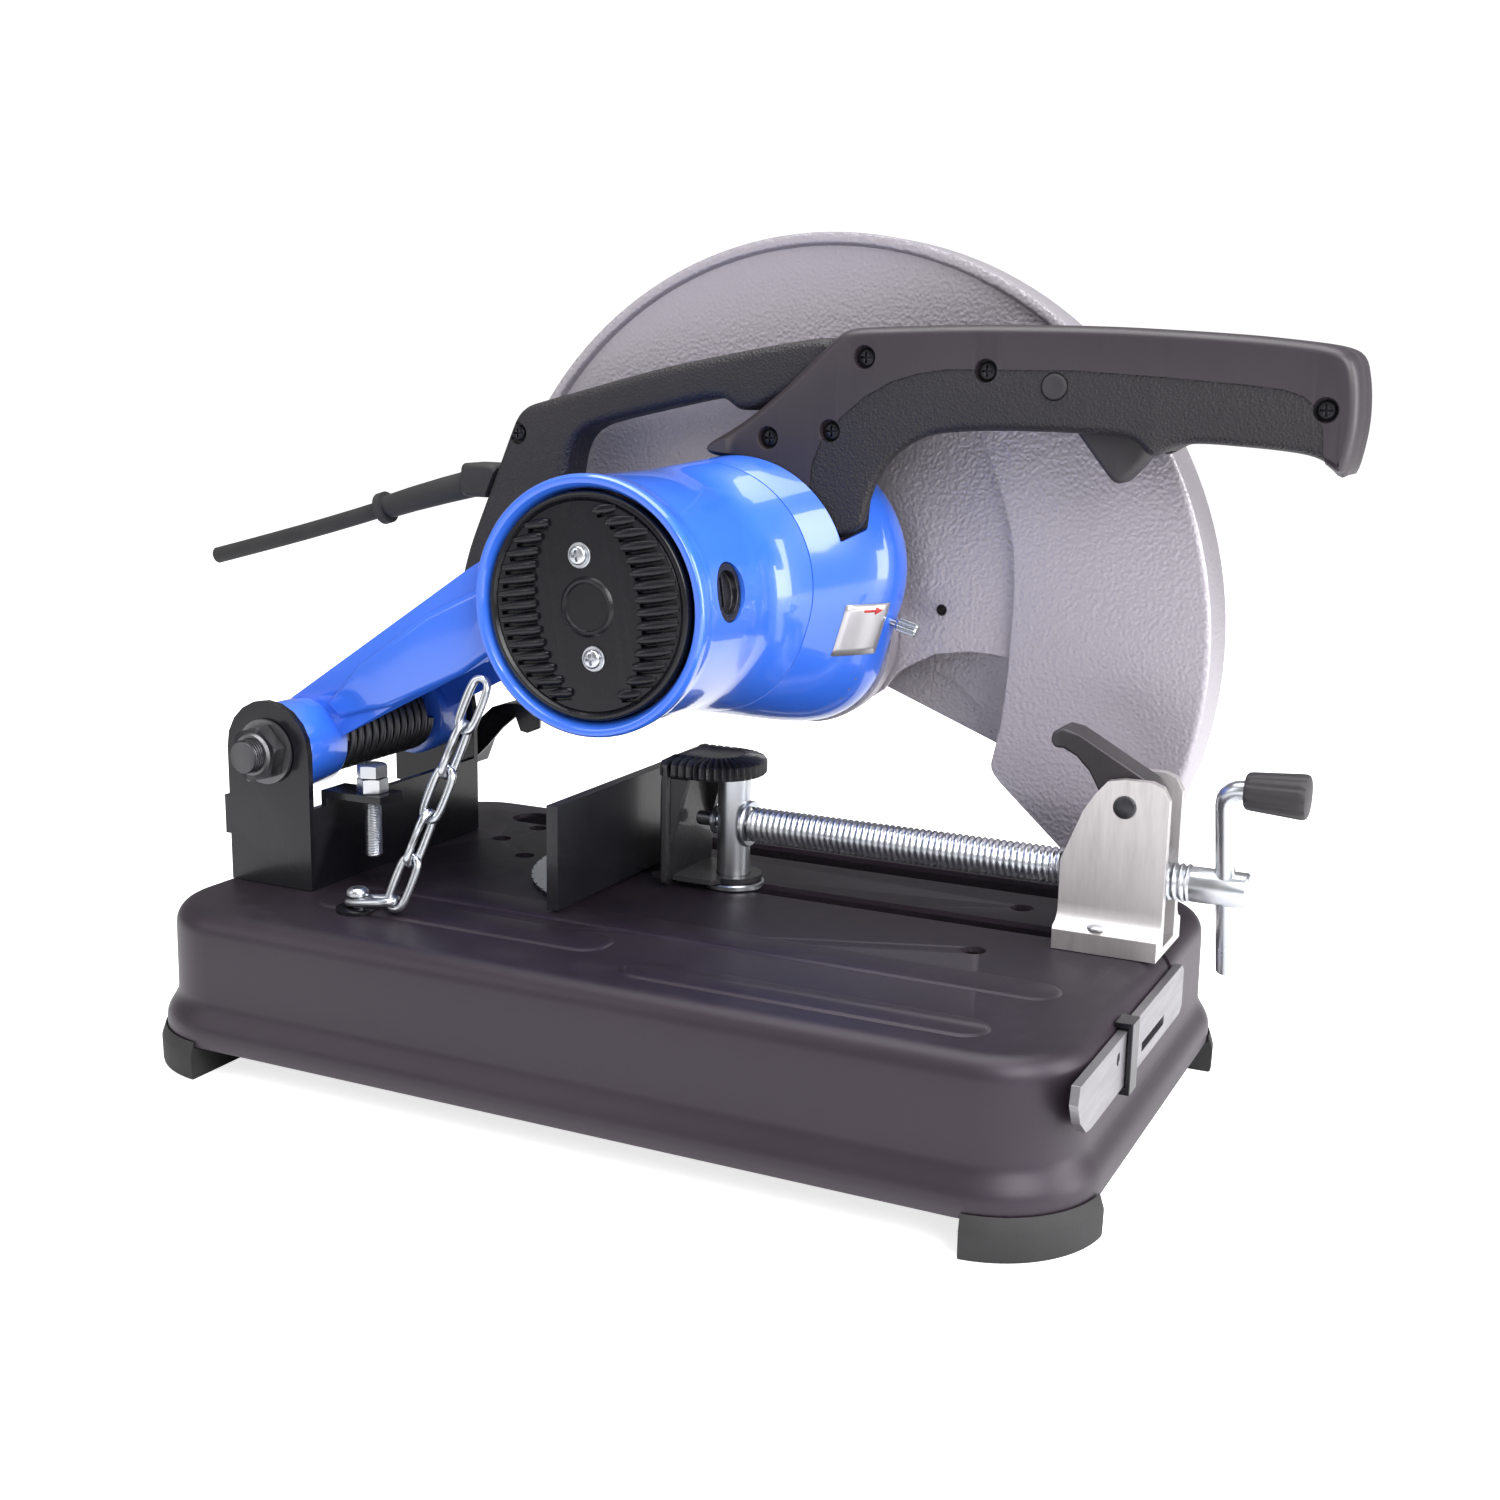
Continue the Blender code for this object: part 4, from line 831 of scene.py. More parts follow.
def base():
    base_tray()
    for node, side_x, side_y in (("foot_front_near", 1, -1), ("foot_front_far", 1, 1),
                                 ("foot_rear_near", -1, -1), ("foot_rear_far", -1, 1)):
        foot(node, side_x, side_y)


# ---------------------------------------------------------------- pivot and stop

def threaded(centre, radius, start, end, pitch, depth, axis, steps=24):
    """A rolled thread as a height field on a cylinder, chamfered at both ends."""
    count = int((end - start) / (pitch / 5))
    rings = []
    for row in range(count + 1):
        along = start + (end - start) * row / count
        near_end = min(along - start, end - along)
        fade = min(near_end / pitch, 1)
        ring = []
        for step in range(steps):
            angle = 2 * math.pi * step / steps
            phase = along / pitch - step / steps
            wave = (0.5 + 0.5 * math.cos(2 * math.pi * phase)) ** 1.4
            reach = radius - depth * wave * fade - (1 - min(near_end / (depth * 1.2), 1)) * depth
            ring.append(lift((centre[0] + reach * math.cos(angle), centre[1] + reach * math.sin(angle)),
                             along, axis))
        rings.append(ring)
    return loft(rings)


def hex_head(centre, corner, low, high, axis, turn=0, dome=True):
    """Hexagon with chamfered corners, cut by a cone as real bolt heads are."""
    outline = arc(centre, corner, turn, turn + 300, 5)
    head = prism(outline, low, high, axis)
    flat = corner * math.cos(math.pi / 6)
    rise = (corner - flat) * 0.6
    profile = [(low - 1, 0), (low - 1, flat * 0.97), (low + rise * 0.8, corner + 0.3),
               (high - rise, corner + 0.3), (high + 0.01, flat * 0.93), (high + 1, flat * 0.9), (high + 1, 0)]
    if not dome:
        profile[1:3] = [(low - 1, corner + 0.3)]
    return combine(head, turned(profile, centre, axis, 48), "INTERSECT")


def pivot_parts():
    dress("pivot_bracket", GLOSS, 1.0, segments=3)
    low, high = limits("pivot_bolt")
    stem = threaded(PIVOT, 8, low.y, low.y + 12, 1.5, 0.7, "y")
    shank = rod(PIVOT, 7.9, low.y + 11, high.y - 8, "y", 40)
    head = hex_head(PIVOT, 13.8, high.y - 9.6, high.y, "y", 10)
    stand_in("pivot_bolt", merge(stem, shank, head), DARK, angle=30)
    low, high = limits("pivot_nut")
    nut = hex_head(PIVOT, 13.8, low.y, high.y - 1.9, "y", 15)
    flange = turned([(high.y - 2, 15.4), (high.y - 0.4, 15.5), (high.y, 15), (high.y, 8.1),
                     (high.y - 2, 8.1)], PIVOT, "y", 48)
    locking_collar = turned([(low.y - 1.6, 8.2), (low.y - 1.6, 9.6), (low.y, 10.4), (low.y + 0.2, 8.2)],
                            PIVOT, "y", 40)
    stand_in("pivot_nut", merge(nut, flange, locking_collar), DARK, angle=30)


def stop_parts():
    low, high = limits("stop_bolt")
    centre = top_middle("stop_bolt")
    bolt = merge(threaded(centre, 4, low.z, high.z - 5, 1.25, 0.6, "z", 20),
                 hex_head(centre, 7.45, high.z - 5.9, high.z, "z", 20))
    stand_in("stop_bolt", bolt, ZINC, angle=30)
    low, high = limits("stop_lock_nut")
    stand_in("stop_lock_nut", hex_head(centre, 7.45, low.z, high.z, "z", 32), ZINC, angle=30)


def torsion_spring():
    low, high = limits("torsion_spring")
    turns = 12
    steps = 24
    coil_radius = 16.3
    wire_radius = 2.1
    path = []
    for step in range(turns * steps + 1):
        angle = 2 * math.pi * step / steps
        depth = low.y + 2.2 + (high.y - low.y - 4.4) * step / (turns * steps)
        path.append((PIVOT[0] + coil_radius * math.cos(angle), depth,
                     PIVOT[1] + coil_radius * math.sin(angle)))
    stand_in("torsion_spring", tube(path, wire_radius, 10), DARK, angle=50)


# ---------------------------------------------------------------- head castings

def arm_casting():
    """Open-bottomed beam with rounded edges, two bosses and the swelling gearcase."""
    outline = [(-198, 160.5), (-92, 231), (-60, 250), (-20, 262), (-20, 190), (-82, 190), (-166, 146),
               (-176, 140), (-200, 150)]
    beam = pillow(outline, -52, 46, "y", 4.5, 5)
    hollow = [(-176, 158), (-168, 169), (-96, 217), (-84, 217), (-84, 150), (-176, 120)]
    beam = cut(beam, prism(hollow, -47.5, 41, "y"))
    beam = cut(beam, rod(PIVOT, 20.2, -41.7, 34.7, "y", 64))
    beam = cut(beam, rod(MOTOR, MOTOR_RADIUS + 0.9, MOTOR_REAR - 5, HOUSING_END + 0.3, "y", 96))
    bosses = []
    for start, end in ((-71, -42), (35, 58)):
        bosses.append(turned([(start, 20), (start + 0.5, 21), (start + 1.6, 21.5), (end - 1.6, 21.5),
                              (end - 0.5, 21), (end, 20), (end, 8.2), (start, 8.2)], PIVOT, "y", 64))
    rings = [housing_ring(depth) for depth in (HOUSING_END + 0.3, 30, 36, 42, 48, 54, 60, 65, 68)]
    rings.append(housing_ring(69.4, -0.3))
    rings.append(housing_ring(CASE_END, -1.2))
    rings += [housing_ring(CASE_END, -4.5), housing_ring(40, -4.5), housing_ring(HOUSING_END + 0.3, -4.5)]
    case = loft(rings, cap=False)
    leg = [[(x, depth, z) for x, z in inset_outline(handle_outline(depth), -0.5)]
           for depth in (HANDLE_NEAR - 0.5, HANDLE_FAR + 1)]
    case = cut(case, loft(leg))
    stand_in("arm_casting", merge(beam, case, *bosses), BLUE, angle=32)


def motor_housing():
    rolled_edge = [(1.8, -3.6), (0.5, -2.7), (0, -1.3), (0.2, 0.1), (1.1, 0.9), (2.6, 1.2), (6.2, 1.15),
                   (7.6, 0.8), (8.4, 0.25), (9, 0)]
    rings = [housing_ring(MOTOR_REAR + along, grow) for along, grow in rolled_edge]
    for step in range(1, 12):
        rings.append(housing_ring(MOTOR_REAR + 9 + (HOUSING_END - 1 - MOTOR_REAR - 9) * step / 11))
    rings.append(housing_ring(HOUSING_END - 0.1, -0.05))
    rings.append(housing_ring(HOUSING_END, -0.15))
    for depth in (HOUSING_END, MOTOR_REAR + 6):
        rings.append(hull_ring([(*MOTOR, 50.5)], depth))
    shell = loft(rings, cap=False)
    for start, end in ((-90, -50), (10, 60)):
        hole = rod((middle("brush_cap_front").y, MOTOR[1]), 13.2, start, end, "x", 48)
        shell = cut(shell, move(hole, turn=-7.7, axis="Y", about=(MOTOR[0], 0, MOTOR[1])))
    stand_in("motor_housing", shell, BLUE, angle=32)


COVER_FACE = -61
LOUVRE_SPACING = 5.7


def louvre_span(height):
    """Inner and outer end of a louvre at a height above the cover's middle."""
    return 25 * math.sqrt(1 - (height / 43.5) ** 2), math.sqrt(45 ** 2 - height ** 2)


def louvre(side, height):
    """One scooped louvre of the end cover, in the cover's own upright frame."""
    inner, outer = louvre_span(height)
    rings = []
    for step in range(9):
        share = step / 8
        x = outer + (inner - outer) * share
        swell = math.sin(math.pi * min(share * 0.62 + 0.08, 1)) if share < 0.92 else 0.55
        tall = 1.0 + 1.5 * swell
        proud = 0.5 + 2.1 * swell * share
        ring = []
        for turn in range(9):
            angle = math.pi * turn / 8
            ring.append((MOTOR[0] + side * x, COVER_FACE + 0.8 - (proud + 0.8) * math.sin(angle),
                         MOTOR[1] + height + 0.9 + tall * math.cos(angle)))
        rings.append(ring)
    return loft(rings)


def end_cover():
    face = COVER_FACE
    profile = [(face + 4, 0), (face + 4, 49.8), (face + 0.4, 49.8), (face - 0.6, 49.3), (face - 1.0, 48.4),
               (face - 0.9, 47.4), (face + 0.6, 46.2), (face, 45.6), (face, 0)]
    plate = turned(profile, MOTOR, "y", 96)
    slots = []
    scoops = []
    for side, count in ((-1, 14), (1, 15)):
        for index in range(count):
            height = (index - (count - 1) / 2) * LOUVRE_SPACING
            inner, outer = louvre_span(height)
            low, high = sorted((MOTOR[0] + side * (inner + 1), MOTOR[0] + side * (outer - 1)))
            slots.append(box((low, face - 3, MOTOR[1] + height - 2.6),
                             (high, face + 2.4, MOTOR[1] + height - 0.7)))
            scoops.append(louvre(side, height))
    plate = cut(plate, merge(*slots))
    ring = turned([(face + 0.5, 13.6), (face - 0.4, 12.9), (face - 1.1, 11.9), (face - 0.9, 10.8),
                   (face + 0.4, 10)], MOTOR, "y", 64)
    cover = merge(plate, ring, *scoops)
    upright = dict(turn=-9, axis="Y", about=(MOTOR[0], 0, MOTOR[1]))
    stand_in("motor_end_cover", move(cover, **upright), SHINY, angle=40)
    for name, height in (("upper", 22.5), ("lower", -22.5)):
        place = (MOTOR[0], MOTOR[1] + height)
        washer = turned([(face - 0.9, 5.6), (face - 1.1, 5.3), (face - 1.1, 2), (face, 2), (face, 5.6)],
                        place, "y", 32)
        screw = merge(washer, phillips(place, face - 1.0, 4.3, height=2.6))
        make_piece("cover_screw_" + name, move(screw, **upright), ZINC, "head", slot="zinc_steel", angle=30)


def gearcase_cover():
    plate = loft([hull_ring([(*MOTOR, small), (*SPINDLE, large)], depth) for depth, small, large in
                  ((70.4, 20, 44.2), (71, 20.2, 44.5), (74, 20.2, 44.5), (74.5, 19.6, 43.8))])
    drum = turned([(74, 0), (74, 43.6), (75, 44.2), (80.8, 44.2), (82.4, 43.6), (83.3, 42.4), (83.6, 41),
                   (83.6, 0)], SPINDLE, "y", 96)
    cover = cut(merge(plate, drum), rod(SPINDLE, 14.3, 66, 90, "y", 48))
    stand_in("gearcase_cover", cover, GREY, angle=35)


# ---------------------------------------------------------------- guards

def guard_shell(near, far, radius, sheet, near_profile, far_profile):
    """A drum cover turned about the spindle: near face, rolled rim and far face."""
    outside = near_profile + [(near + 2.2, radius), (far - 2.2, radius)] + far_profile
    inside = []
    for along, reach in reversed(outside):
        inwards = sheet if along < (near + far) / 2 else -sheet
        inside.append((along + inwards, reach - (sheet if reach > radius - 1 else 0)))
    return turned(outside + inside, SPINDLE, "y", 144)


def fixed_guard():
    near = GUARD_NEAR
    far = near + 28
    radius = GUARD_RADIUS
    dish = []
    for step in range(9):
        share = step / 8
        ease = share * share * (3 - 2 * share)
        dish.append((near + 0.1 + 3.6 * ease, 60 + 42 * share))
    near_profile = [(near + 0.1, 14.6), (near + 0.1, 44)] + dish
    near_profile += [(near + 3.7, 140), (near + 3.7, radius - 7.2), (near + 3.4, radius - 6.2),
                     (near + 1.3, radius - 5.6), (near + 0.3, radius - 4.9), (near, radius - 4),
                     (near, radius - 1.6), (near + 0.5, radius - 0.5)]
    far_profile = [(far - 0.5, radius - 0.5), (far, radius - 1.6), (far, radius - 4), (far - 0.3, radius - 5),
                   (far - 0.3, 60), (far, 52), (far, 5)]
    shell = guard_shell(near, far, radius, 1.5, near_profile, far_profile)
    rear_cut = [(-158, 149), (-60, 160), (-35, 172)]
    near_line = [(SPINDLE[0] + radius + 5, 180.5), (124, 190), (113, 191.7), (101, 192.2), (86, 189.8),
                 (74.5, 184), (67, 179), (60, 170), (44, 159.5), (24, 155), (2, 159)] + rear_cut[::-1]
    far_line = [(SPINDLE[0] + radius + 5, 90), (120, 145), (111.5, 151.5), (103.5, 158.6), (93, 169),
                (86, 173.5), (78.5, 176.5), (60, 179), (58, 173), (44, 161), (24, 156), (2, 160)]
    far_line += rear_cut[::-1]
    around = [(-200, 149), (-200, -60), (SPINDLE[0] + radius + 5, -60)]
    middle_y = (near + far) / 2
    shell = cut(shell, prism(near_line + around, near - 5, middle_y, "y"))
    shell = cut(shell, prism(far_line + around, middle_y, far + 5, "y"))
    shell = cut(shell, rod((88, 211), 2.8, near - 3, near + 6, "y", 24))
    boss = turned([(far - 1, 0), (far - 1, 8), (far + 5, 8), (far + 5.5, 7.5), (far + 5.5, 0)],
                  SPINDLE, "y", 48)
    stand_in("fixed_guard", merge(shell, boss), GREY, angle=38)


def swing_guard():
    near = SWING_NEAR
    far = SWING_FAR
    radius = SWING_RADIUS
    near_profile = [(near, 14), (near, 100), (near, radius - 3.2), (near + 0.2, radius - 1.8),
                    (near + 0.8, radius - 0.7), (near + 1.8, radius - 0.1)]
    far_profile = [(far - 1.8, radius - 0.1), (far - 0.8, radius - 0.7), (far - 0.2, radius - 1.8),
                   (far, radius - 3.2), (far, 100), (far, 14)]
    shell = guard_shell(near, far, radius, 1.7, near_profile, far_profile)
    middle_y = (near + far) / 2
    rim = arc(SPINDLE, radius + 4, -33, 40, 20)
    curved = [(99, 312), (104.5, 295.5), (109.6, 285), (113.8, 274.7), (118, 263.5), (121.4, 252),
              (123.4, 241.5), (124.3, 231), (124.6, 220), (124.4, 209), (124, 198), (123.6, 187),
              (122.4, 172), (120.8, 157.6), (118.2, 146), (117, 140), (117.3, 137.4), (118.5, 135),
              (122, 131), (152, 104), (165, 93)]
    near_half = combine(shell.copy(), prism(rim + curved, near - 3, middle_y, "y"), "INTERSECT")
    hub = [(99, 312)] + arc(SPINDLE, 22, 115, 275, 16) + [(117, 140), (122, 131), (152, 104), (165, 93)]
    far_half = combine(shell, prism(rim + hub, middle_y, far + 3, "y"), "INTERSECT")
    collar = turned([(far - 2, 8.2), (far - 2, 15), (far, 15), (far, 8.2)], SPINDLE, "y", 48)
    stand_in("swing_guard", merge(near_half, far_half, collar), GREY, angle=38)


# ---------------------------------------------------------------- handles

def handle_outline(depth):
    """Side outline of the main handle; the leg gets slimmer towards the far side."""
    lean = 0.42 * (depth - HANDLE_NEAR)
    outline = [(-24, 283.5), (2, 297), (26, 316), (50, 338.5), (56, 341), (83, 342), (115, 343), (170, 342.7),
               (214, 340.7), (240, 339), (267, 336), (275, 332), (277.8, 319), (278.4, 303), (275, 283.5),
               (271.5, 283), (265, 290), (250, 292.5), (205, 295), (197, 287.5), (192, 287.5), (188, 296),
               (157, 297), (128, 297)]
    leg = [(104, 295.5), (94, 293), (85, 288), (74, 276.5), (69, 263), (68, 252)]
    outline += [(x - lean, z) for x, z in leg]
    outline += [(56 - lean * 0.5, 246), (42, 244.5), (37, 249), (22, 267.5), (5.5, 279)]
    return outline


def smooth_handle(depth):
    return even(soften(handle_outline(depth), 2, 0.22), 300)


def handle_solid(outer, inner, sunk=0):
    """Half of the handle, rounded towards its outer face; sunk makes it thinner all round."""
    towards = 1 if inner > outer else -1
    radius = 7
    rings = []
    for step in range(7):
        angle = math.pi / 2 * step / 6
        depth = outer + towards * radius * (1 - math.cos(angle))
        shrink = radius * 0.62 * (1 - math.sin(angle)) + sunk
        shifted = depth + towards * sunk
        rings.append([(x, shifted, z) for x, z in inset_outline(smooth_handle(depth), shrink)])
    for share in (0.6, 0.85, 1):
        depth = outer + (inner - outer) * share
        squeeze = 0.45 if share == 1 else 0
        rings.append([(x, depth, z) for x, z in inset_outline(smooth_handle(depth), squeeze + sunk)])
    return loft(rings)


HANDLE_SCREWS = ((64, 328), (17, 291), (48, 295), (121, 323), (265, 310))
PANEL_EDGE = [(36, 240), (38, 262), (39.5, 280), (44, 291), (54, 302), (65, 311), (78, 318), (90, 321.5),
              (103, 323.5), (161, 324), (198, 322), (230, 319.8), (248, 318), (256, 315.5), (261, 311.5),
              (264.5, 303), (266.5, 284), (262, 275), (110, 275), (80, 235)]


def handle_near():
    shell = handle_solid(HANDLE_NEAR, HANDLE_SPLIT)
    slot = box((154.5, HANDLE_SPLIT - 9.8, 275), (199, HANDLE_SPLIT + 5, 318))
    button_hole = rod(side_middle("lock_button"), 6, HANDLE_NEAR - 5, HANDLE_NEAR + 16, "y", 40)
    tools = [slot]
    for place in HANDLE_SCREWS:
        tools.append(turned([(HANDLE_NEAR - 5, 0), (HANDLE_NEAR - 5, 6), (HANDLE_NEAR - 0.2, 5.6),
                             (HANDLE_NEAR + 0.6, 5), (HANDLE_NEAR + 4.5, 4.9), (HANDLE_NEAR + 4.5, 0)],
                            place, "y", 32))
    panel = prism(PANEL_EDGE, HANDLE_NEAR - 5, HANDLE_SPLIT + 5, "y")
    grip = combine(handle_solid(HANDLE_NEAR, HANDLE_SPLIT, 0.6), panel.copy(), "INTERSECT")
    holes = merge(*tools)
    grip = cut(grip, holes.copy(), button_hole.copy())
    shell = cut(shell, panel, holes, button_hole)
    stand_in("handle_near_half", shell, SMOOTH, angle=38)
    make_piece("grip_panel_near", grip, LEATHER, "head", slot="black_plastic", angle=38)
    for index, place in enumerate(HANDLE_SCREWS):
        make_piece("handle_screw_%d" % (index + 1), phillips(place, HANDLE_NEAR + 4.4, 4.2, height=2.0), DARK,
                   "head", slot="dark_steel", angle=30)


def handle_far():
    shell = handle_solid(HANDLE_FAR, HANDLE_SPLIT + 0.3)
    slot = box((154.5, HANDLE_SPLIT - 5, 275), (199, HANDLE_SPLIT + 10, 318))
    panel = prism(PANEL_EDGE, HANDLE_SPLIT - 5, HANDLE_FAR + 5, "y")
    grip = combine(handle_solid(HANDLE_FAR, HANDLE_SPLIT + 0.3, 0.6), panel.copy(), "INTERSECT")
    grip = cut(grip, slot.copy())
    shell = cut(shell, panel, slot)
    stand_in("handle_far_half", shell, SMOOTH, angle=38)
    make_piece("grip_panel_far", grip, LEATHER, "head", slot="black_plastic", angle=38)


def trigger():
    low, high = limits("trigger")
    outline = soften([(157.5, 310), (157, 300), (163, 293), (171, 283), (176, 277), (180, 276), (191, 288),
                      (192, 300), (190, 310)], 2, 0.2)
    stand_in("trigger", pillow(outline, low.y, high.y, "y", 2.4), SOFT, angle=45)
    low, high = limits("lock_button")
    profile = [(high.y, 0), (high.y, 5.6), (low.y + 1, 5.6), (low.y + 0.2, 5), (low.y, 4),
               (low.y + 0.5, 2.4), (low.y + 0.7, 0)]
    stand_in("lock_button", turned(profile, side_middle("lock_button"), "y", 40), SOFT, angle=40)


def carry_handle():
    low, high = limits("carry_handle")
    outline = [(-164, 184), (-159, 222), (-135, 276), (-126, 297), (-120, 302), (-109, 305), (-40, 323),
               (20, 334), (46, 337.5), (42, 322), (8, 303), (-4, 303), (-11, 310), (-80, 294.5),
               (-90, 289), (-95, 279), (-98, 258), (-99, 244), (-132, 205.5)]
    shape = pillow(even(soften(outline, 2, 0.18), 300), low.y, high.y, "y", 5, 5)
    shape = cut(shape, prism(inset_outline(handle_outline(HANDLE_NEAR), -0.4), 30, 90, "y"))
    shape = cut(shape, turned([(low.y - 5, 0), (low.y - 5, 6.2), (low.y, 5.8), (low.y + 3.5, 5.2),
                               (low.y + 3.5, 0)], (-124.5, 288.5), "y", 32))
    stand_in("carry_handle", shape, LEATHER, angle=40)
    make_piece("carry_handle_screw", phillips((-124.5, 288.5), low.y + 3.4, 3.8), DARK, "head",
               slot="dark_steel", angle=30)


def cable():
    """Ribbed strain relief and a smooth round cable."""
    y = middle("power_cable").y
    block = pillow(rounded_rectangle(11, 8.5, 3.5, 5, (-149.5, 264)), y - 10.5, y + 10.5, "y", 2.5)
    block = cut(block, prism([(-150.1, 245), (-124.3, 303), (-90, 303), (-90, 245)], 30, 80, "y"))
    path = [(x, y, z) for x, z in ((-152, 263.4), (-164, 260.4), (-176, 257.4), (-186, 254.7), (-196, 252),
                                   (-206, 249), (-214, 246.6))]
    sleeve = tube(path, lambda share: 7.2 - 1.1 * share, 32)
    end = Vector((-214, y, 246.6))
    way = Vector((-10, 0, -3)).normalized()
    collar = tube([end - way * 1.5, end - way * 1.4, end + way * 2.6, end + way * 2.7],
                  lambda share: 5 if share in (0, 1) else 8.4, 32)
    stand_in("strain_relief", merge(block, sleeve, collar), RUBBER, angle=40)
    path = [(x, y, z) for x, z in ((-152, 263.4), (-176, 257.4), (-196, 252), (-216, 246), (-233, 240.9),
                                   (-250, 236), (-270, 230.4), (-290, 225), (-310, 219.7), (-330, 214.5))]
    cable_radius = 4.35
    stand_in("power_cable", tube(path, cable_radius, 28), RUBBER, angle=40)


def lock_pin():
    """Flat-ended plunger with a straight-knurled knob on a sloping axis."""
    start = Vector((64, 63.5, 208.3))
    way = Vector((0.9672, 0, -0.254))
    knurl = 0.35
    profile = [(0.2, 1.6), (0.6, 2), (9.8, 2), (10.2, 2.4), (11, 3.2), (20, 3.2), (20.8, 2.6)]
    side = Vector((0, 1, 0))
    other = way.cross(side)
    rings = []
    for along, radius in profile:
        ring = []
        for step in range(48):
            angle = 2 * math.pi * step / 48
            reach = radius - (knurl if step % 2 and 10.5 < along < 20.5 else 0)
            ring.append(start + way * along + (side * math.cos(angle) + other * math.sin(angle)) * reach)
        rings.append(ring)
    stand_in("spindle_lock_pin", loft(rings), ZINC, angle=25)


def case_side(depth, height, grow):
    """x of the gearcase's operator-side surface at a depth and height."""
    ring = [point for point in housing_ring(depth, grow) if point.x > MOTOR[0] + 20]
    ring.sort(key=lambda point: point.z)
    for below, above in zip(ring, ring[1:]):
        if below.z <= height <= above.z:
            share = (height - below.z) / (above.z - below.z)
            return below.x + (above.x - below.x) * share
    return ring[0].x


def sticker(name, depths, heights, grow, paint, slot):
    """Thin patch that follows the gearcase; depths and heights give the left and right edge of each row."""
    shape = bmesh.new()
    rows = []
    for height, (left, right) in zip(heights, depths):
        row = []
        for step in range(9):
            depth = left + (right - left) * step / 8
            row.append(shape.verts.new((case_side(depth, height, grow), depth, height)))
        rows.append(row)
    for lower, upper in zip(rows, rows[1:]):
        for index in range(8):
            shape.faces.new((lower[index], lower[index + 1], upper[index + 1], upper[index]))
    item = make_piece(name, shape, paint, "head", slot=slot, angle=60)
    thickness = item.modifiers.new("thickness", "SOLIDIFY")
    thickness.thickness = 0.15 * MM
    thickness.offset = 0


def label():
    """Blank foil label with a small red arrow towards the lock pin."""
    heights = [192 + 3.5 * step for step in range(8)]
    sticker("side_label", [(37, 57)] * 8, heights, 0.25, label_silver(), "zinc_steel")
    sticker("label_arrow_shaft", [(45, 50), (45, 50)], [212.4, 213.6], 0.45, arrow_red(), "zinc_steel")
    sticker("label_arrow_head", [(50, 50.2), (50, 53.5), (50, 50.2)], [211.2, 213, 214.8], 0.5, arrow_red(),
            "zinc_steel")


# ---------------------------------------------------------------- vise and fence

def vise_post():
    low, high = limits("vise_post")
    centre = (POST_X, SCREW_Y)
    deck = DECK + 0.3
    profile = [(low.z, 0), (low.z, 13), (low.z + 4.4, 13), (low.z + 4.4, 7), (deck, 7), (deck, 14.4),
               (deck + 0.6, 15), (deck + 2.4, 15), (deck + 3, 14.4), (deck + 3, 8), (131.2, 8), (131.6, 7.6),
               (131.6, 5), (high.z, 5), (high.z, 0)]
    post = turned(profile, centre, "z", 56)
    post = cut(post, rod((SCREW_Y, SCREW_Z), 3.6, -20, 30, "x", 28))
    collar = turned([(14.4, 8.3), (14.4, 10.6), (13.6, 11.2), (12.2, 11.2), (11.8, 8.3)],
                    (SCREW_Y, SCREW_Z), "x", 40)
    washer = turned([(-3.4, 4), (-3.4, 6.8), (-4.8, 6.8), (-4.8, 4)], (SCREW_Y, SCREW_Z), "x", 32)
    stand_in("vise_post", merge(post, collar, washer), ZINC, angle=35)


def vise_screw():
    low, high = limits("vise_screw")
    centre = (SCREW_Y, SCREW_Z)
    thread = threaded(centre, 8.5, 15, 226, 3, 1.05, "x", 36)
    tip = turned([(low.x, 0), (low.x, 3.1), (low.x + 0.6, 3.5), (16, 3.5), (16, 0)], centre, "x", 28)
    plain = turned([(225, 0), (225, 7.6), (226.5, 7.8), (249, 7.8), (249.8, 7.2), (high.x, 6.6),
                    (high.x, 0)], centre, "x", 48)
    stand_in("vise_screw", merge(thread, tip, plain), ZINC, angle=45)


def crank():
    dress("crank_rod", ZINC, 0.5, angle=40)
    low = limits("crank_grip")[0]
    centre = middle("crank_grip")
    flutes = 12
    flute_depth = 0.45
    rings = []
    profile = [(0, 4.6), (0, 7), (0.8, 7.8), (2.5, 8.1), (14, 8.9), (22, 9.5), (23.8, 9.5), (25, 9.0),
               (25.5, 8.0)]
    for along, radius in profile:
        ring = []
        for step in range(96):
            angle = 2 * math.pi * step / 96
            flute = flute_depth * max(math.cos(flutes * angle), 0) if 1 < along < 25 else 0
            reach = radius - flute
            ring.append((low.x + along, centre.y + reach * math.cos(angle),
                         centre.z + reach * math.sin(angle)))
        rings.append(ring)
    stand_in("crank_grip", loft(rings), SOFT, angle=40)


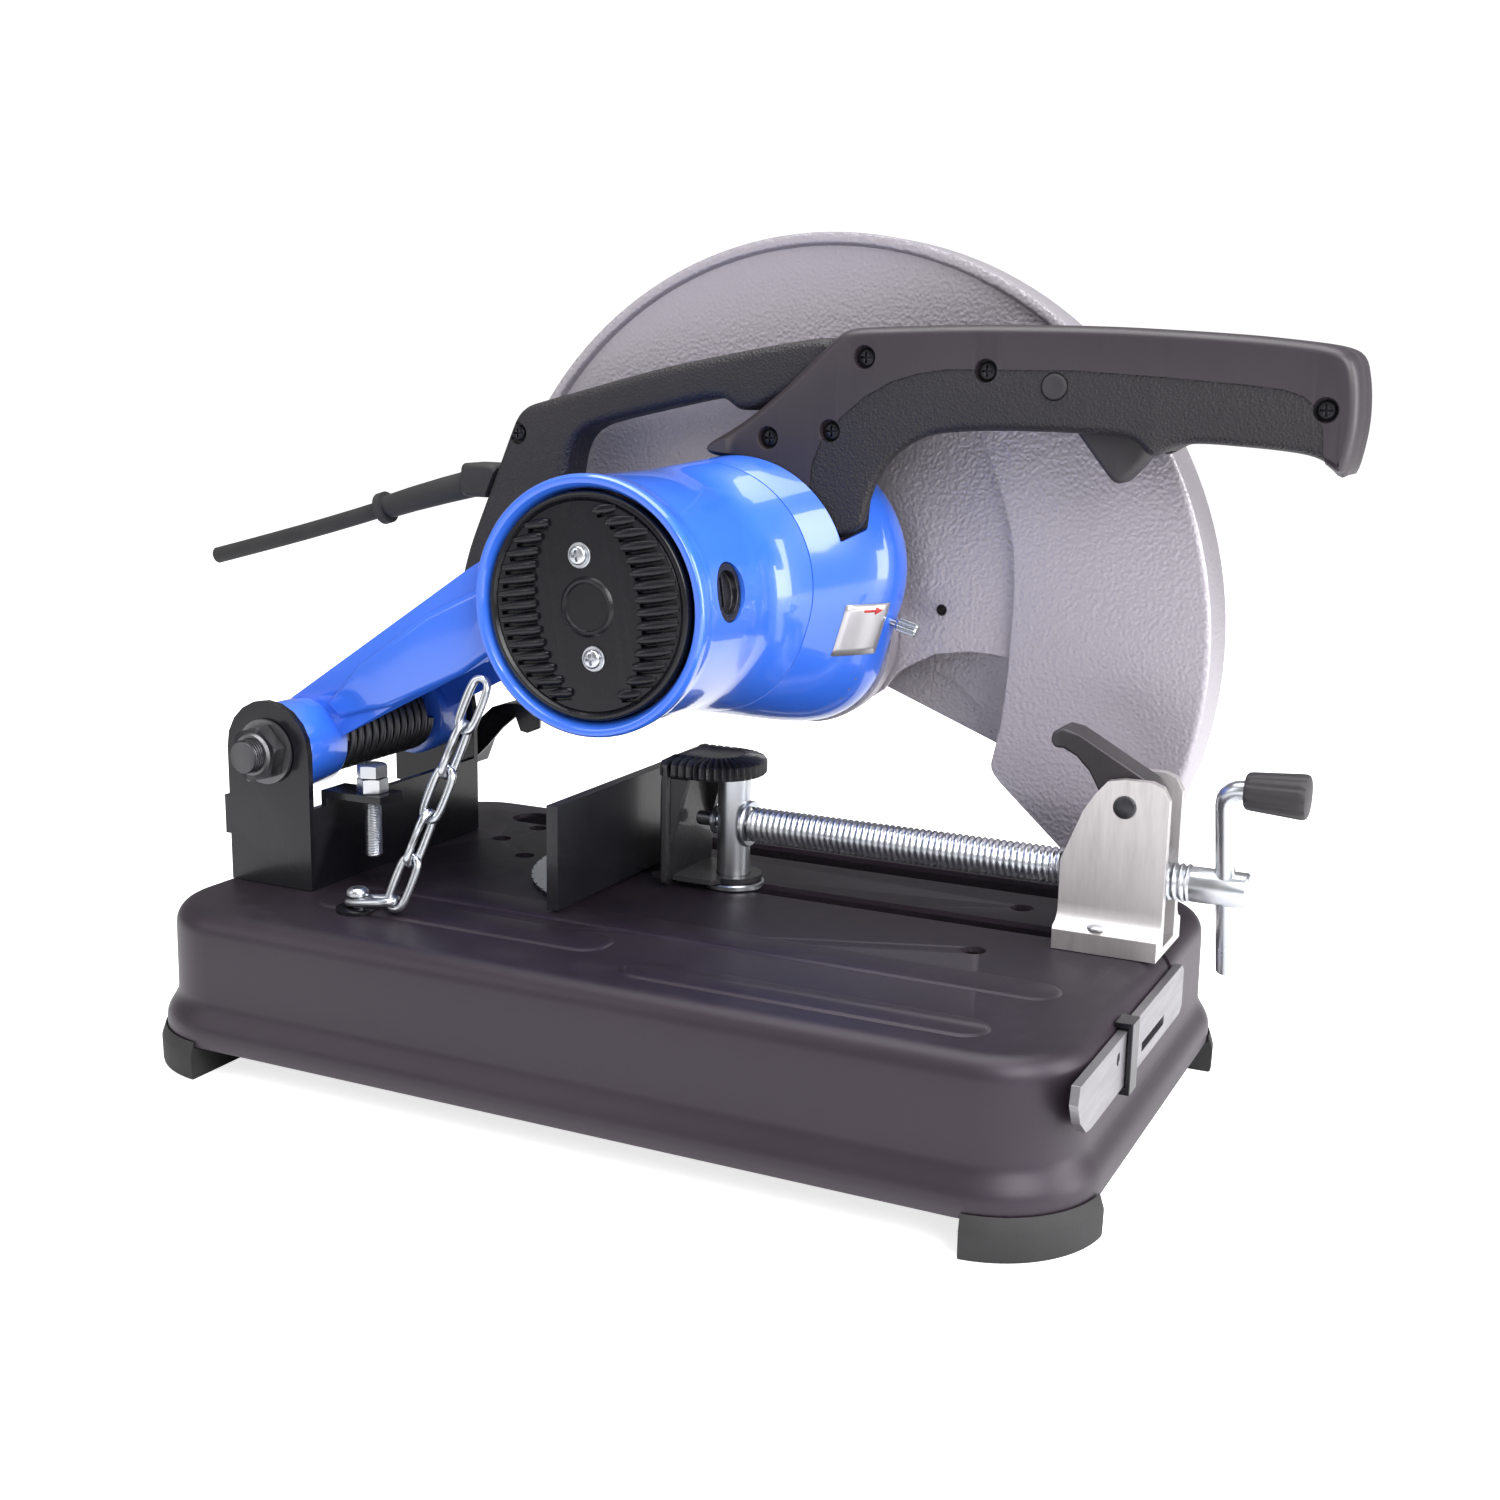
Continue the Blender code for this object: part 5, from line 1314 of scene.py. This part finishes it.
def serrated_head(front, top):
    """D-shaped head with deep slanting teeth round its edge and a smooth oval in the middle."""
    centre_x = -4
    radius = 24
    edge = [(x, SCREW_Y + radius, 0, 1) for x in range(-21, centre_x, 2)]
    for step in range(41):
        angle = math.radians(90 - 4.5 * step)
        edge.append((centre_x + radius * math.cos(angle), SCREW_Y + radius * math.sin(angle),
                     math.cos(angle), math.sin(angle)))
    edge += [(x, SCREW_Y - radius, 0, -1) for x in range(centre_x - 1, -22, -2)]
    rings = []
    levels = ((0.8, 9, 0.4), (0, 8, 1.4), (0, 3.2, 3), (1.2, 1.4, 3.2), (5, 0.5, 2.8), (9, 0.1, 1.6),
              (11.5, 0, 0), (12.5, 0.3, 0))
    for inset, below, bite in levels:
        height = top - below
        ring = []
        for index, (x, y, way_x, way_y) in enumerate(edge):
            notch = bite if index % 2 else 0
            drop = notch * 0.8 if inset else 0
            ring.append((x - way_x * (inset + notch), y - way_y * (inset + notch), height - drop))
        for side in (-1, -0.5, 0, 0.5, 1):
            ring.append((front + inset * 0.4, SCREW_Y + side * (radius - inset), height))
        rings.append(ring)
    return loft(rings)


def jaw():
    """Serrated D-shaped head, front plate, foot and brace."""
    low, high = limits("vise_jaw")
    front = low.x
    head = serrated_head(front, high.z)
    plate = pillow(rounded_rectangle(24, (high.z - 2 - low.z) / 2, 3, 4, (SCREW_Y, (high.z - 2 + low.z) / 2)),
                   front, front + 5, "x", 1.2)
    foot_outline = [(-22, 14), (-22, 52), (2, 52)] + arc((POST_X, SCREW_Y), 14, 90, -90, 20) + [(2, 14)]
    foot_plate = cut(prism(foot_outline, 80.3, 83, "z"), rod((POST_X, SCREW_Y), 8.3, 79, 90, "z", 40))
    braces = [prism([(-19, 131), (-19, 96), (-9, 131)], SCREW_Y + start, SCREW_Y + start + 4, "y")
              for start in (18, -22)]
    stand_in("vise_jaw", merge(head, plate, foot_plate, *braces), CAST, angle=28, bevel=0.25, segments=1)


def fence():
    low, high = limits("fence_plate")
    away = box((low.x - 5, low.y - 5, DECK + 1), (-48.3, 2, high.z - 42))
    plate = cut(node_shape("fence_plate"), away)
    stand_in("fence_plate", plate, GLOSS, bevel=1.0, segments=3)
    scale = node_shape("mitre_scale")
    teeth = []
    for step in range(14):
        x, y = arc((-20, 40), 80.6, 180 + 6.5 * step, 180 + 6.5 * step, 1)[0]
        teeth.append(rod((x, y), 1.5, DECK - 2, DECK + 4, "z", 10))
    scale = cut(scale, box((-47.8, low.y - 30, DECK - 1), (60, 80, DECK + 4)), merge(*teeth))
    stand_in("mitre_scale", scale, ZINC, bevel=0.3)
    low, high = limits("fence_pivot_bolt")
    centre = top_middle("fence_pivot_bolt")
    bolt = merge(hex_head(centre, 7.45, high.z - 5.7, high.z, "z", 12),
                 rod(centre, 4, low.z, high.z - 4, "z", 24))
    stand_in("fence_pivot_bolt", bolt, ZINC, angle=30)
    clamp = (centre[0], 16)
    flange_top = DECK + 6
    bolt = merge(hex_head(clamp, 7.4, flange_top + 0.2, flange_top + 5.6, "z", 40),
                 rod(clamp, 4, flange_top - 5, flange_top + 2, "z", 24))
    make_piece("fence_clamp_bolt", bolt, ZINC, "fence_unit", slot="zinc_steel", angle=30)


def nut_bracket():
    dress("nut_bracket", BRACKET, 0.9, segments=3)
    for name, y in (("near", 15), ("far", 51)):
        rivet = turned([(80, 0), (80, 2.4), (87.4, 2.4), (87.4, 4.6), (88.2, 4.4), (89, 3.2), (89.4, 1.4),
                        (89.4, 0)], (190, y), "z", 32)
        make_piece("bracket_rivet_" + name, rivet, ZINC, "base", slot="zinc_steel", angle=40)
    dress("half_nut_lever", LEVER, 1.6, segments=3)
    low, high = limits("lever_pin")
    centre = side_middle("lever_pin")
    profile = [(low.y, 0), (low.y, 4.2), (low.y + 0.5, 5), (high.y - 0.5, 5), (high.y, 4.2), (high.y, 0)]
    stand_in("lever_pin", turned(profile, centre, "y", 36), DARK, angle=35)


def stored_spanner():
    dress("spanner", FLAT, 0.7, segments=3)
    dress("spanner_clip", GLOSS, 0.4)


# ---------------------------------------------------------------- chain

def chain():
    """Each packed link is redrawn as a rounder wire, a little thicker so that smoothing keeps its size."""
    growth = 0.45
    for number in range(1, 7):
        node = "chain_link_%d" % number
        shape = node_shape(node)
        shape.normal_update()
        for vertex, normal in [(vertex, vertex.normal.copy()) for vertex in shape.verts]:
            vertex.co += normal * growth
        item = make_piece(node + "_skin", shape, ZINC, BODY_OF[node], (node,), angle=180)
        smooth = item.modifiers.new("round", "SUBSURF")
        smooth.levels = 2
        smooth.render_levels = 2
    low, high = limits("chain_anchor_screw")
    centre = top_middle("chain_anchor_screw")
    washer = turned([(DECK + 0.3, 10), (DECK + 1.6, 10), (DECK + 1.8, 9.6), (DECK + 1.8, 2.6),
                     (DECK + 0.3, 2.6)], centre, "z", 48)
    screw = phillips(centre, high.z - 3.6, 5.1, "z", 1, 3.5)
    stem = rod(centre, 2.5, low.z, high.z - 3, "z", 24)
    stand_in("chain_anchor_screw", merge(screw, stem), ZINC, angle=30)
    make_piece("anchor_washer", washer, GLOSS, "base", slot="dark_steel", angle=40)


# ---------------------------------------------------------------- what stays as packed

def hidden_parts():
    for paint, nodes in ((IRON, ("stator", "armature")), (DARK, ("pinion", "drive_gear")),
                         (SOFT, ("cooling_fan",)),
                         (ZINC, ("motor_rear_bearing", "motor_front_bearing", "spindle_front_bearing"))):
        for node in nodes:
            item = frame["nodes"][node]
            item.data.materials.clear()
            item.data.materials.append(paint)
    for paint, nodes in ((ZINC, ("spindle", "inner_flange", "outer_flange", "wheel_bolt")),
                         (GLOSS, ("spark_deflector",)), (SHINY, ("brush_cap_front", "brush_cap_rear"))):
        for node in nodes:
            dress(node, paint)


# ---------------------------------------------------------------- light and camera

LIGHTS = (
    # name, place, size, watts
    ("key", (1.4, -1.0, 1.25), (1.1, 1.2), 40),
    ("fill", (-1.2, -1.4, 1.0), (0.9, 1.1), 7),
    ("top", (0.0, 0.0, 1.8), (1.7, 1.4), 40),
    ("rim", (1.7, 0.3, 0.6), (0.7, 1.3), 24),
)
LIGHT_AIM = Vector((0, 0, 0.18))
WORLD_LIGHT = 0.30
WORLD_SEEN = 1.05
CAMERA_AZIMUTH = math.radians(25.71)
CAMERA_ELEVATION = math.radians(11.87)
CAMERA_ROLL = math.radians(1.007)
CAMERA_PLACE = Vector((386.16, -742.33, 325.03))
CAMERA_LENS = 44.275


def area_light(name, place, size, power):
    data = bpy.data.lights.new(name, "AREA")
    data.shape = "RECTANGLE"
    data.size, data.size_y = size
    data.energy = power
    lamp = bpy.data.objects.new(name, data)
    lamp.location = place
    lamp.rotation_euler = (LIGHT_AIM - Vector(place)).to_track_quat("-Z", "Y").to_euler()
    bpy.context.scene.collection.objects.link(lamp)


def studio():
    mesh = bpy.data.meshes.new("floor")
    mesh.from_pydata([(-6, -6, 0), (6, -6, 0), (6, 6, 0), (-6, 6, 0)], [], [(0, 1, 2, 3)])
    mesh.materials.append(floor_paint())
    floor = bpy.data.objects.new("floor", mesh)
    bpy.context.scene.collection.objects.link(floor)
    world = bpy.data.worlds.new("studio")
    world.use_nodes = True
    tree = world.node_tree
    background = tree.nodes["Background"]
    background.inputs["Color"].default_value = (1, 1, 1, 1)
    seen = tree.nodes.new("ShaderNodeLightPath")
    level = tree.nodes.new("ShaderNodeMapRange")
    level.inputs["To Min"].default_value = WORLD_LIGHT
    level.inputs["To Max"].default_value = WORLD_SEEN
    tree.links.new(seen.outputs["Is Camera Ray"], level.inputs["Value"])
    tree.links.new(level.outputs[0], background.inputs["Strength"])
    bpy.context.scene.world = world
    for light in LIGHTS:
        area_light(*light)
    bpy.context.scene.view_settings.view_transform = "Standard"


def camera():
    """The photograph's view: near the vise end, a little above the deck."""
    right = Vector((math.cos(CAMERA_AZIMUTH), math.sin(CAMERA_AZIMUTH), 0))
    back = Vector((math.sin(CAMERA_AZIMUTH) * math.cos(CAMERA_ELEVATION),
                   -math.cos(CAMERA_AZIMUTH) * math.cos(CAMERA_ELEVATION), math.sin(CAMERA_ELEVATION)))
    up = back.cross(right)
    turned_right = right * math.cos(CAMERA_ROLL) + up * math.sin(CAMERA_ROLL)
    turned_up = up * math.cos(CAMERA_ROLL) - right * math.sin(CAMERA_ROLL)
    data = bpy.data.cameras.new("camera")
    data.sensor_width = 36
    data.lens = CAMERA_LENS
    data.clip_start = 0.01
    item = bpy.data.objects.new("camera", data)
    pose = Matrix((turned_right, turned_up, back)).transposed().to_4x4()
    pose.translation = CAMERA_PLACE * MM - LAYOUT * MM
    item.matrix_world = pose
    bpy.context.scene.collection.objects.link(item)
    bpy.context.scene.camera = item


for build in (base, pivot_parts, stop_parts, torsion_spring, arm_casting, motor_housing, end_cover,
              gearcase_cover, fixed_guard, swing_guard, handle_near, handle_far, trigger, carry_handle,
              cable, lock_pin, label, vise_post, vise_screw, crank, jaw, fence, nut_bracket,
              stored_spanner, chain, hidden_parts, studio, camera):
    build()
